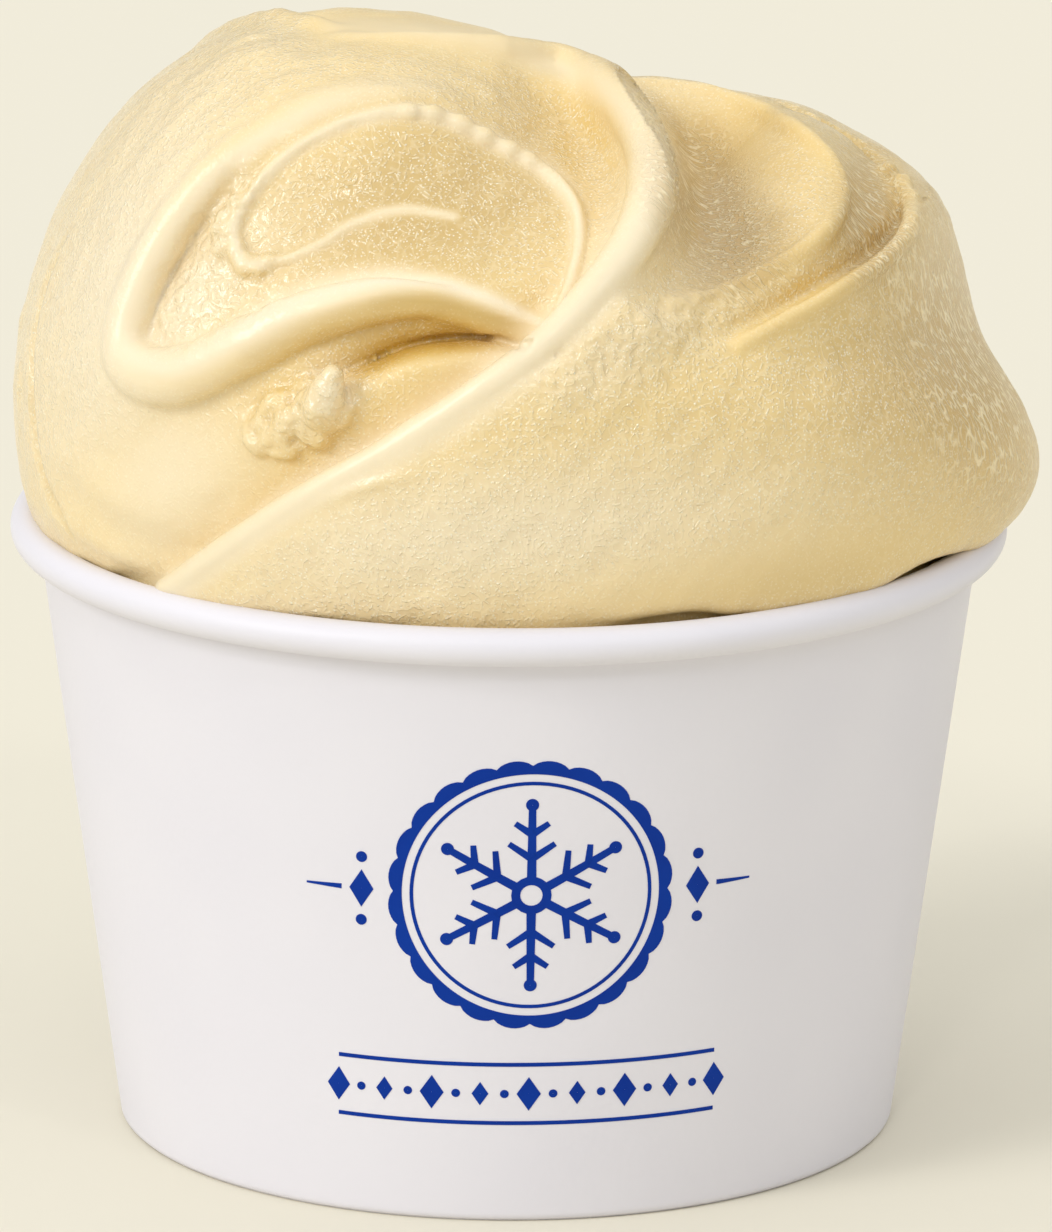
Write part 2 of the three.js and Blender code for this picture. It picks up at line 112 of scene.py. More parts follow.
THREAD_PATH = [
    (-27, 12.6), (-27.6, 15.9), (-24.9, 20.4), (-21.2, 23.8), (-16.4, 26.2), (-11.6, 27.1),
    (-7.7, 26.5), (-3.9, 24.8), (0, 22.8), (3.4, 20.4), (5.2, 17.8), (5.5, 14.5), (4.8, 10.8), (3.6, 8),
]
INNER_THREAD_PATH = [
    (-26.6, 12.4), (-23.4, 12.6), (-19.6, 14.2), (-16, 16.4), (-11.4, 17.7), (-6.4, 17),
]
BESIDE_CREST_PATH = [(8.8, 31.6), (12.8, 28.2), (15.1, 25.2), (15.9, 21.6), (15.2, 18), (12.9, 14.8)]
INNER_ARC_PATH = [
    (10.2, 30.2), (16.2, 29.6), (22.1, 27.9), (26.7, 25.4), (29.6, 22.6), (30.7, 19.2), (29.4, 16),
    (25.4, 12.9), (20.2, 10.4), (14.6, 8.6),
]
OUTER_LIP_PATH = [
    (36, 20.8), (37.3, 18.2), (37.2, 16), (35.4, 13.6), (32.8, 11.6), (28.7, 9), (24.6, 6.9), (21, 4.8),
]

# Ridges and grooves: path, rise, how fast it fades to the left and right of its direction, how
# far its line is shifted to the left, and its power: the lower, the sharper the line. A list's
# values are spread along the path.
STROKES = {
    "crest_back": (
        CREST_PATH, [height - step for height, step in zip(CREST_HEIGHTS, CREST_BACK_STEPS)],
        [4, 4, 3, 2.4, 2.2, 2.4, 4, 8, 11, 13, 11, 9],
        [4, 3.6, 3.4, 3.2, 3, 2.8, 2.4, 1.8, 1.3, 1.3, 1.3, 1.3], [0.3, 0.8, 1]),
    "trough_inside_crest": (
        [(-12, 31.5), (-2, 29.5), (5, 24.5), (8, 19.5), (6.8, 14), (4, 9.6), (1.5, 7.4)],
        [-0.3, -1.1, -1.4, -1.6, -1.7, -1.3, -0.7], [3, 2.6, 2], [4, 3.2, 3]),
    "trough_under_crest": (
        [(1.6, 5), (-5, 0.6), (-13, -4.2), (-23, -10.2), (-33, -17.6)], [-1.8, -2.2, -1.9, -1.8, -1.6],
        [1.3], [4, 5]),
    "recess_under_roll": (
        [(0.8, 4.6), (-1.9, 5.4), (-6.9, 5.3), (-10.8, 4.7), (-13.8, 3.5), (-16.8, 2.2), (-21, 0.5),
         (-27, -1.6)], [-2, -3.6, -4.3, -4.3, -3.8, -2.9, -1.7, -0.4], [1, 1, 1, 1.1, 1.2, 1.6, 2.4],
        [1.8, 2.3, 2.6, 2.7, 2.6], [0], 1.15),
    "arm_shoulder": (
        HAIRPIN_PATH[1:7] + [(-32.8, 1)], [0, 0.6, 1.2, 1.4, 1.4, 0.9, 0], [1], [4.5, 5, 5, 5, 4],
        [-1.6]),
    "groove_inside_arm": (ARM_FOOT_PATH, [0, -0.8, -1.3, -1.4, -1.4, -1.1, -0.3], [1.5], [1.2]),
    "inner_arc_bank": (
        [(9, 3.6), (16.1, 7.7), (22, 10), (27.4, 13.2), (30.2, 18.6), (29.4, 22.8), (25.8, 27.6)],
        [0, 0.3, 0.5, 0.7, 0.9, 0.7, 0.4], [2.4], [1.4]),
    "groove_in_outer_arc": (
        [(19, 5.4), (24.1, 7.9), (28.3, 10), (32.4, 12.5), (34.9, 14.5), (36.5, 16.6), (36.4, 18.6)],
        [0, -0.5, -0.9, -1.2, -1.3, -1, -0.4], [1.1], [0.45]),
    "outer_arc_bank": (
        [(14, 1.8), (19.8, 4.4), (25.1, 7.05), (30.2, 10.3), (34.8, 13.2), (37.2, 16.6)],
        [0, 0.5, 1.1, 1.6, 1.8, 1.4], [0.9], [5, 4.5, 3.6]),
    "scrap_line": ([(-20, -10.6), (-15, -8.9), (-9, -7.2)], [0, 0.5, 0], [0.5], [0.7]),
    "drag_line": ([(-47, -10), (-41, -14.5), (-34, -17.5)], [0.2, 0.6, 0.3], [1.6], [0.8]),
    "drag_line_above": ([(-46, -4), (-40, -10), (-30, -14)], [0, 0.45, 0], [2.4], [1.2]),
}

# Falls on the left of a path: how deep, and how far from the path they are deepest.
FALLS = {
    "beside_crest": (
        [(0, 33), (5.4, 30.8), (10.1, 26.8), (12.9, 22.6), (13.1, 18.3), (11.3, 14.2), (8.4, 9.8)],
        [0, 1.8, 6, 8.4, 7.6, 3.4, 0], [2.4, 2.8, 3.4, 4, 4.4, 4.8, 4.6]),
}

# Scooped dishes and low swellings: place, half lengths, turn, rise in the middle, flatness.
DISHES = {
    "eye": ((-10, 17), (19, 8.5), 20, -3.9, 2.6),
    "eye_corner": ((0, 12.5), (8, 5), 65, -1.2, 2),
    "scoop_beside_crest": ((21.5, 18), (7.5, 6.5), -60, -1.6, 2.2),
    "scoop_between_arcs": ((33, 19.5), (3.6, 8), 6, -1.8, 2.2),
    "belly": ((-30, -4), (9, 6), 30, -0.8, 2),
    "scrap_patch": ((-20.5, -1.2), (5, 3), 30, 0.7, 2),
}

# Round rolls: path, radius, how far their middle is above the plain mound, and how softly they
# blend into it.
ROLLS = {
    "hairpin": (
        HAIRPIN_PATH, [0.8, 1.5, 1.8, 1.9, 2, 2.2, 2.6, 2.8, 2.7, 2.5, 2.2, 1.7, 1.5, 1.4, 1.2],
        [-4.6, -2.7, -1.2, -0.3, 0, 0, 0, -0.1, -0.4, -0.9, -1.4, -2.2, -3, -3.8, -4.4],
        [3, 3, 2, 1.4, 1, 0.9, 0.9, 0.9, 0.7, 0.5, 0.5, 0.7, 1.4, 2.4, 2.8]),
    "crest": (
        CREST_PATH, [1, 1.5, 2.1, 2.5, 2.6, 2.5, 2.2, 1.9, 1.6, 1.5, 1.4, 1.4],
        [height - depth for height, depth in zip(CREST_HEIGHTS, CREST_ROLL_DEPTHS)],
        [1.4, 1, 0.7, 0.6, 0.6, 0.6, 0.7, 0.9]),
    "nub": (
        [(-19.4, -1.9), (-18.8, -0.7), (-18.1, 0.6), (-17.5, 1.7)], [1.9, 2.1, 1.7, 1.1],
        [-0.6, 0.4, 1.1, 1.6], [1.4, 0.8, 0.5]),
}
# Rolls whose middle is measured from the carved surface.
CARVED_ROLLS = {
    "outer_thread": (
        THREAD_PATH, [0.6, 0.8, 0.55, 0.5, 0.5, 0.6, 0.6, 0.6, 0.65, 0.65, 0.6, 0.55, 0.5],
        [0.2, 0.15, 0.1, 0.1, 0.1, 0.15, 0.2], [0.5]),
    "inner_thread": (
        INNER_THREAD_PATH, [0.6, 0.55, 0.45, 0.35, 0.2], [0.1, 0.05, 0, -0.15, -0.35], [0.4]),
    "inner_arc": (
        INNER_ARC_PATH, [0.6, 0.7, 0.8, 0.9, 1, 0.9, 0.7], [-0.2, -0.1, 0, 0, 0, -0.1, -0.4], [0.9]),
    "outer_lip": (OUTER_LIP_PATH, [0.8, 0.9, 0.9, 0.9, 0.8, 0.7], [0, 0.1, 0.1, 0, -0.1, -0.3], [0.6]),
}

# Narrow cuts in the mound with its rolls: the same, measured from its surface.
CUTS = {
    "crease": (
        [(0.2, 4.3), (-2.4, 5.4), (-5.6, 5.5), (-7.7, 5.3), (-10.4, 4.75), (-13.2, 3.7), (-15.8, 2.7)],
        [0.3, 0.45, 0.45, 0.4, 0.35, 0.3, 0.1], [0], [0.3]),
    "behind_right": (
        [(22, 29.6), (26.4, 27.6), (30.4, 25.6), (33.6, 23.2), (35.6, 21.4)], [0.2, 0.7, 0.9, 0.9, 0.5],
        [0], [0.3]),
    "behind_left": (
        [(-43.6, 15), (-45.8, 10), (-46.9, 4), (-46.9, -3), (-45.6, -9), (-43, -14)],
        [0.2, 0.6, 0.8, 0.8, 0.6, 0.2], [0], [0.3]),
}

# Folds round the back: the same, along directions from the mound's centre.
BACK_FOLDS = [
    ([(-19, 33, 10), (-27, 30, -6), (-32, 22, -20), (-30, 10, -33), (-20, 0, -41), (-6, -5, -44),
      (10, -6, -43)], [1, 1.8, 2.4, 2.8, 2.6, 2.2, 1.4], [-1.6, -0.6, -0.2, -0.2, -0.4, -0.8, -1.6], [3]),
    ([(8, 30, -12), (20, 26, -22), (28, 16, -30), (30, 4, -32), (24, -6, -36)],
     [1, 1.8, 2.2, 2, 1.2], [-1.4, -0.5, -0.3, -0.6, -1.4], [3]),
]

# Crumbs and knots of torn gelato: place, radius and lift off the carved surface.
CRUMBS = [
    (-10.9, 26.9, 0.7, 0.2), (-8.6, 26.8, 0.7, 0.25), (-5.8, 25.8, 0.8, 0.2), (-3.6, 24.6, 0.75, 0.3),
    (-1.2, 23.4, 0.8, 0.2), (0.7, 22.3, 0.7, 0.2), (-27.9, 15.2, 0.9, 0.3), (-27.2, 13.6, 0.8, 0.5),
    (-26.3, 12.2, 1.0, 0.3), (-28.7, 16.9, 0.7, 0.2), (-29.2, 15.4, 0.6, 0.3), (-28.8, 13.9, 0.7, 0.1),
    (-25.2, 11.8, 0.8, 0.2), (-24, 12.9, 0.5, 0.3), (-27.4, 18.3, 0.7, 0.1),
    (-20.6, -0.8, 1, 0.5), (-20.2, 0.6, 0.7, 0.4), (-22, -2.2, 1, 0.1), (-19.4, -4.4, 0.9, 0.1),
    (35.2, 21.6, 0.9, 0.1), (36.6, 20.2, 0.9, 0.1), (37.4, 18.8, 0.8, 0.1),
]
CRUMB_BLEND = 0.8

# The heap of small crumbs, strewn over a turned ellipse.
SCATTER_PLACE, SCATTER_HALF, SCATTER_TURN = (-21.4, -2.4), (5.6, 3.1), radians(24)
SCATTER_COUNT, SCATTER_SEED = 70, 11
SCATTER_SIZE, SCATTER_SPREAD, SCATTER_LIFT = 0.3, 0.25, 0.2
crumb_draw = np.random.default_rng(SCATTER_SEED)
for _ in range(SCATTER_COUNT):
    reach, angle = sqrt(crumb_draw.random()), crumb_draw.random() * 2 * pi
    spot = complex(SCATTER_HALF[0] * cos(angle), SCATTER_HALF[1] * sin(angle)) * reach
    spot = complex(*SCATTER_PLACE) + spot * complex(cos(SCATTER_TURN), sin(SCATTER_TURN))
    size = SCATTER_SIZE + SCATTER_SPREAD * crumb_draw.random()
    CRUMBS.append((spot.real, spot.imag, size, SCATTER_LIFT))

# ---- small helpers

CORNERS = [(i, j, k) for i in (0, 1) for j in (0, 1) for k in (0, 1)]
CHUNK = 40000


def shifted(path, up):
    return [(a, b + up) for a, b in path]


def spline(path, steps=6):
    """Points along a smooth curve through the path's points, and how far along each one is."""
    given = np.array(path, float)
    ends = np.vstack([given[:1], given, given[-1:]])
    spans = len(given) - 1
    points = []
    for span in range(spans):
        before, start, stop, after = ends[span:span + 4]
        part = np.linspace(0, 1, steps, endpoint=False)[:, None]
        leaving, arriving = (stop - before) / 2, (after - start) / 2
        points.append((2 * start - 2 * stop + leaving + arriving) * part**3
                      + (3 * stop - 3 * start - 2 * leaving - arriving) * part**2
                      + leaving * part + start)
    return np.vstack([*points, given[-1:]]), np.linspace(0, 1, spans * steps + 1)


def lengths(vectors):
    return np.linalg.norm(vectors, axis=1)


def pushed(points, by):
    """Points pushed away from the origin."""
    return points * (1 + by / lengths(points))[:, None]


def along(values, fractions):
    """Values spread evenly along a path, read at these fractions of it."""
    places = np.linspace(0, 1, len(values)) if len(values) > 1 else [0]
    return np.interp(fractions, places, values)


def in_columns(fractions, *lists):
    return np.stack([along(values, fractions) for values in lists], 1)


def smooth_step(value, start, end):
    share = np.clip((value - start) / (end - start), 0, 1)
    return share * share * (3 - 2 * share)


def smooth_min(first, second, width):
    share = np.clip(0.5 + 0.5 * (second - first) / width, 0, 1)
    return second + (first - second) * share - width * share * (1 - share)


def near_line(points, line, margin):
    return ((points > line.min(0) - margin) & (points < line.max(0) + margin)).all(1)


def nearest_on_line(points, line, values):
    """For each point its distance from a polyline, on which side it is, and the values there."""
    starts, steps = line[:-1], np.diff(line, axis=0)
    squares = (steps**2).sum(1) + 1e-12
    distance, side = np.empty(len(points)), np.ones(len(points))
    found = np.empty((len(points), values.shape[1]))
    for first in range(0, len(points), CHUNK):
        part = slice(first, first + CHUNK)
        reach = points[part, None] - starts
        share = np.clip((reach * steps).sum(2) / squares, 0, 1)
        away = ((reach - share[..., None] * steps)**2).sum(2)
        best = away.argmin(1)
        rows = np.arange(len(best))
        distance[part] = np.sqrt(away[rows, best])
        if line.shape[1] == 2:
            beside = reach[rows, best]
            cross = steps[best, 0] * beside[:, 1] - steps[best, 1] * beside[:, 0]
            side[part] = np.where(cross > 0, 1, -1)
        share = share[rows, best][:, None]
        found[part] = values[best] + (values[best + 1] - values[best]) * share
    return distance, side, found


# ---- the gelato's field

FIELD_HALF, FIELD_STEP = 58.0, 0.25
STROKE_REACH = 2.6
FALL_POWER = 1.5
CARVING_STARTS, CARVING_FULL = -4, 8
SEARCH_FRONT, SEARCH_BACK, SEARCH_STEP, SEARCH_ROUNDS = 52.0, -2.0, 0.5, 6
ROLL_REACH, CUT_REACH, CRUMB_REACH, CRUMB_MARGIN = 6, 4, 3, 2


def stroke_height(points, path, rise, left, right, shift=(0,), power=2):
    line, fractions = spline(path)
    columns = in_columns(fractions, rise, left, right, shift)
    close = near_line(points, line, STROKE_REACH * columns[:, 1:3].max() + np.abs(columns[:, 3]).max())
    distance, side, found = nearest_on_line(points[close], line, columns)
    offset = distance * side - found[:, 3]
    width = np.where(offset > 0, found[:, 1], found[:, 2])
    height = np.zeros(len(points))
    height[close] = found[:, 0] * np.exp(-(np.abs(offset) / width)**power)
    return height


def fall_height(points, path, drop, reach):
    line, fractions = spline(path)
    distance, side, found = nearest_on_line(points, line, in_columns(fractions, drop, reach))
    share = np.where(side > 0, distance, 0) / found[:, 1]
    return -found[:, 0] * share**FALL_POWER * np.exp(FALL_POWER * (1 - share))


def turned(a, b, turn):
    cosine, sine = cos(radians(turn)), sin(radians(turn))
    return a * cosine + b * sine, b * cosine - a * sine


def dish_height(points, place, half, turn, rise, flatness=3):
    run, across = turned(points[:, 0] - place[0], points[:, 1] - place[1], turn)
    return rise * np.exp(-np.hypot(run / half[0], across / half[1])**flatness)


def relief():
    """A square table of the carving's heights over the folds' plane."""
    ticks = np.arange(-FIELD_HALF, FIELD_HALF + FIELD_STEP / 2, FIELD_STEP)
    grid = np.stack(np.meshgrid(ticks, ticks, indexing="ij"), -1).reshape(-1, 2)
    kinds = ((stroke_height, STROKES), (fall_height, FALLS), (dish_height, DISHES))
    total = sum(height(grid, *part) for height, parts in kinds for part in parts.values())
    return total.reshape(len(ticks), len(ticks))


def read_table(table, a, b):
    across = np.clip((a + FIELD_HALF) / FIELD_STEP, 0, len(table) - 1.001)
    up = np.clip((b + FIELD_HALF) / FIELD_STEP, 0, len(table) - 1.001)
    i, j = across.astype(int), up.astype(int)
    u, v = across - i, up - j
    low = table[i, j] * (1 - u) + table[i + 1, j] * u
    high = table[i, j + 1] * (1 - u) + table[i + 1, j + 1] * u
    return low * (1 - v) + high * v


relief_table = relief()
outline_angles = np.radians([angle for angle, _ in OUTLINE] + [OUTLINE[0][0] + 360])
outline_radii = np.array([radius for _, radius in OUTLINE])


def outline_radius(angle):
    count = len(OUTLINE)
    turned = np.mod(angle - outline_angles[0], 2 * np.pi) + outline_angles[0]
    span = np.clip(np.searchsorted(outline_angles, turned, side="right") - 1, 0, count - 1)
    share = (turned - outline_angles[span]) / np.diff(outline_angles)[span]
    before, start, stop, after = (outline_radii[(span + shift) % count] for shift in (-1, 0, 1, 2))
    return 0.5 * (2 * start + (stop - before) * share
                  + (2 * before - 5 * start + 4 * stop - after) * share**2
                  + (3 * start - before - 3 * stop + after) * share**3)


def plain_mound(local):
    a, b, w = local.T
    outline = outline_radius(np.arctan2(b, a))
    depth = np.where(w > 0, MOUND_FRONT_DEPTH, MOUND_BACK_DEPTH)
    share = np.sqrt((np.hypot(a, b) / outline)**2 + (w / depth)**2) + 1e-9
    return lengths(local) * (1 - 1 / share)


def seen_place(local):
    """Where points are seen on the folds' plane."""
    scale = 1 / (1 - local[:, 2] / SIGHT_DISTANCE)
    return SIGHT_A + (local[:, 0] - SIGHT_A) * scale, SIGHT_B + (local[:, 1] - SIGHT_B) * scale


def on_sight_line(places, w):
    """The points in front of the folds' plane by w that are seen at these places on it."""
    scale = 1 - w / SIGHT_DISTANCE
    return np.stack([SIGHT_A + (places[:, 0] - SIGHT_A) * scale,
                     SIGHT_B + (places[:, 1] - SIGHT_B) * scale, w], 1)


def points_seen_at(places, lift):
    """The plain mound's points that are seen at places on the plane, lifted off it."""
    w = np.zeros(len(places))
    for _ in range(4):
        points = on_sight_line(places, w)
        a, b, _ = points.T
        share = np.hypot(a, b) / outline_radius(np.arctan2(b, a))
        w = MOUND_FRONT_DEPTH * np.sqrt(np.maximum(0, 1 - share**2))
    points[:, 2] = w
    return pushed(points, lift)


def slope_of(field, points, step=0.08):
    slopes = []
    for axis in range(3):
        shift = np.zeros(3)
        shift[axis] = step
        slopes.append((field(points + shift) - field(points - shift)) / (2 * step))
    return np.stack(slopes, 1)


def normals_of(field, points):
    slope = slope_of(field, points)
    return slope / (lengths(slope)[:, None] + 1e-9)


def carved_mound(local):
    carving = read_table(relief_table, *seen_place(local))
    return plain_mound(local) - carving * smooth_step(local[:, 2], CARVING_STARTS, CARVING_FULL)


def points_on(field, places, lift):
    """The field's nearest points that are seen at places on the plane, lifted off its surface."""
    low, high = np.full(len(places), SEARCH_BACK), np.full(len(places), SEARCH_FRONT)
    found = np.zeros(len(places), bool)
    for w in np.arange(SEARCH_FRONT, SEARCH_BACK, -SEARCH_STEP):
        inside = (field(on_sight_line(places, np.full(len(places), w))) < 0) & ~found
        low[inside], high[inside] = w, w + SEARCH_STEP
        found |= inside
    for _ in range(SEARCH_ROUNDS):
        middle = (low + high) / 2
        inside = field(on_sight_line(places, middle)) < 0
        low, high = np.where(inside, middle, low), np.where(inside, high, middle)
    points = on_sight_line(places, low)
    return points + normals_of(field, points) * lift[:, None]


def laid_roll(path, radius, lift, blend, field=None):
    """A roll's middle line and its sizes, laid on the plain mound or else on a field's surface."""
    places, fractions = spline(path)
    lift = along(lift, fractions)
    points = points_on(field, places, lift) if field else points_seen_at(places, lift)
    return points, in_columns(fractions, radius, blend)


def back_fold(path, radius, lift, blend):
    points, fractions = spline(path, 3)
    on_mound = pushed(points, -plain_mound(points))
    return pushed(on_mound, along(lift, fractions)), in_columns(fractions, radius, blend)


laid_rolls = [laid_roll(*roll) for roll in ROLLS.values()]
laid_rolls += [laid_roll(*roll, carved_mound) for roll in CARVED_ROLLS.values()]
laid_rolls += [back_fold(*fold) for fold in BACK_FOLDS]


def joined(field, local, lines, reach, sign=1):
    """A field with round lines added, or cut out of it where the sign is -1."""
    for line, sizes in lines:
        near = near_line(local, line, reach) & (np.abs(field) < reach)
        if near.any():
            distance, _, found = nearest_on_line(local[near], line, sizes)
            field[near] = sign * smooth_min(sign * field[near], distance - found[:, 0], found[:, 1])
    return field


def rolled_mound(local):
    return joined(carved_mound(local), local, laid_rolls, ROLL_REACH)


laid_cuts = [laid_roll(*cut, rolled_mound) for cut in CUTS.values()]
crumb_table = np.array(CRUMBS)
crumb_places = points_on(carved_mound, crumb_table[:, :2], crumb_table[:, 3])
crumbs_from = crumb_places[:, 2].min() - CRUMB_REACH

NOISE_SIZE, NOISE_SEED = 32, 5
noise_table = np.random.default_rng(NOISE_SEED).random((NOISE_SIZE,) * 3) * 2 - 1


def soft_noise(points, cell):
    """Smooth noise from -1 to 1 with bumps of about this size."""
    place = points / cell
    low = np.floor(place).astype(int)
    share = smooth_step(place - low, 0, 1)
    total = 0
    for corner in CORNERS:
        weight = np.where(corner, share, 1 - share).prod(1)
        spot = (low + corner) % NOISE_SIZE
        total = total + weight * noise_table[spot[:, 0], spot[:, 1], spot[:, 2]]
    return total


def mound_field(local):
    """The mound with its rolls, cuts and crumbs."""
    field = joined(rolled_mound(local), local, laid_cuts, CUT_REACH, -1)
    close = np.flatnonzero((local[:, 2] > crumbs_from) & (np.abs(field) < CRUMB_REACH))
    around = local[close]
    for place, size in zip(crumb_places, crumb_table[:, 2]):
        near = (np.abs(around - place) < size + CRUMB_MARGIN).all(1)
        if near.any():
            distance = lengths(around[near] - place) - size
            field[close[near]] = smooth_min(field[close[near]], distance, CRUMB_BLEND)
    return field


HEM_HEIGHT, HEM_ROUNDING = 59.6, 1.4
# Where the hem stands off the rim: the angle from the front in degrees, half width and height.
HEM_ARCHES = [(21, 7, 1.1), (60, 10, 1.7)]
NECK_RADIUS, NECK_TOP, NECK_BLEND, NECK_TUCK = 44.0, 64.0, 0.7, 1.2
PLUG_TOP = 56.0


def in_cup(local):
    """Points of the mound's own frame as places about the cup's axis."""
    return local @ np.stack([ALONG_A, ALONG_B, ALONG_W]) + MOUND_CENTRE


def gelato_field(local):
    x, y, z = in_cup(local).T
    turn = np.degrees(np.arctan2(x, -y))
    arch = sum(rise * np.exp(-((turn - middle) / half)**2) for middle, half, rise in HEM_ARCHES)
    field = -smooth_min(-mound_field(local), z - HEM_HEIGHT - arch, HEM_ROUNDING)
    radius = NECK_RADIUS - NECK_TUCK * np.minimum(arch, 1)
    neck = np.maximum(np.hypot(x, y) - radius, z - NECK_TOP)
    return smooth_min(field, neck, NECK_BLEND)


# ---- meshing the field

FRONT_CELL = 0.47
LATTICE_SIZE = (108.0, 88.0, 76.0)
LATTICE_FRONT = 52.0
SPREAD_START, SPREAD_RATE = 26.0, 0.014
BLOCK = 4
BLOCK_MARGIN = 3.6
FLATTEST, LONGEST_MOVE = 0.2, 0.35

lattice_counts = np.array([BLOCK * ceil(size / FRONT_CELL / BLOCK) for size in LATTICE_SIZE])


def lattice_points(index):
    """Lattice places in the mound's own frame: fine in front, and spreading out behind."""
    run = (lattice_counts[2] - index[:, 2]) * FRONT_CELL
    spread = np.maximum(0, run - SPREAD_START)
    scale = 1 + 2 * SPREAD_RATE * spread
    return np.stack([
        (index[:, 0] - lattice_counts[0] / 2) * FRONT_CELL * scale,
        (index[:, 1] - lattice_counts[1] / 2) * FRONT_CELL * scale,
        LATTICE_FRONT - run - SPREAD_RATE * spread**2], 1)


def window(array, corner, shape):
    return array[tuple(slice(start, start + size) for start, size in zip(corner, shape))]


def sampled_lattice(field):
    """The field on the lattice, worked out finely only near the surface."""
    coarse_shape = lattice_counts // BLOCK + 1
    coarse_index = np.indices(coarse_shape).reshape(3, -1).T * BLOCK
    coarse = field(lattice_points(coarse_index)).reshape(coarse_shape)
    near = np.abs(coarse) < BLOCK_MARGIN * BLOCK * FRONT_CELL
    blocks = np.zeros(lattice_counts // BLOCK, bool)
    active = np.zeros(lattice_counts + 1, bool)
    for corner in CORNERS:
        blocks |= window(near, corner, blocks.shape)
    fine = blocks.repeat(BLOCK, 0).repeat(BLOCK, 1).repeat(BLOCK, 2)
    for corner in CORNERS:
        part = window(active, corner, fine.shape)
        part |= fine
    nearest = [np.minimum((np.arange(count + 1) + BLOCK // 2) // BLOCK, count // BLOCK)
               for count in lattice_counts]
    samples = coarse[np.ix_(*nearest)].astype(np.float64)
    samples[active] = field(lattice_points(np.argwhere(active)))
    return samples


def surface_net(samples):
    """One vertex in each crossed cell and one quad for each crossed edge."""
    shape = np.array(samples.shape)
    strides = np.array([shape[1] * shape[2], shape[2], 1])
    inside = samples < 0
    cell_ids, crossings, quads = [], [], []
    for axis in range(3):
        here, there = [slice(1, -1)] * 3, [slice(1, -1)] * 3
        here[axis], there[axis] = slice(0, -1), slice(1, None)
        change = inside[tuple(here)] != inside[tuple(there)]
        index = np.argwhere(change) + [0 if other == axis else 1 for other in range(3)]
        flat = index @ strides
        start, stop = samples.ravel()[flat], samples.ravel()[flat + strides[axis]]
        place = index.astype(float)
        place[:, axis] += start / (start - stop)
        second, third = strides[(axis + 1) % 3], strides[(axis + 2) % 3]
        around = np.stack([flat - second - third, flat - third, flat, flat - second], 1)
        outward = (start < 0)[:, None]
        quads.append(np.where(outward, around, around[:, ::-1]))
        cell_ids.append(around.ravel())
        crossings.append(np.repeat(lattice_points(place), 4, 0))
    used, owner = np.unique(np.concatenate(cell_ids), return_inverse=True)
    places = np.concatenate(crossings)
    counts = np.bincount(owner)
    vertices = np.stack([np.bincount(owner, places[:, axis]) / counts for axis in range(3)], 1)
    return vertices, np.searchsorted(used, np.concatenate(quads))


def on_surface(field, points):
    for _ in range(2):
        slope = slope_of(field, points)
        move = -slope * (field(points) / np.maximum((slope**2).sum(1), FLATTEST))[:, None]
        points = points + move * np.minimum(1, LONGEST_MOVE / np.maximum(lengths(move), 1e-9))[:, None]
    return points


# ---- mesh building

collection = bpy.context.scene.collection


def mesh_object(name, points, faces, material, smooth=True):
    """A mesh piece from points in mm about the cup's axis."""
    mesh = bpy.data.meshes.new(name)
    placed = np.asarray(points, float) * MM + CUP_AXIS
    mesh.from_pydata(placed.tolist(), [], [list(map(int, face)) for face in faces])
    mesh.validate()
    if smooth:
        mesh.shade_smooth()
    mesh.materials.append(material)
    piece = bpy.data.objects.new(name, mesh)
    collection.objects.link(piece)
    return piece


def sheet_faces(rows, count, round_rows=False, closed=False):
    """Quads between rows of this many points. Each row may be round, and the last may join the first."""
    pairs = [(row * count, (row + 1) % rows * count) for row in range(rows if closed else rows - 1)]
    return [[low + i, low + (i + 1) % count, high + (i + 1) % count, high + i]
            for low, high in pairs for i in range(count if round_rows else count - 1)]


# ---- materials


def linear(red, green, blue):
    """A colour given in sRGB from 0 to 255."""
    given = np.array([red, green, blue]) / 255
    return *np.where(given <= 0.04045, given / 12.92, ((given + 0.055) / 1.055)**2.4), 1.0


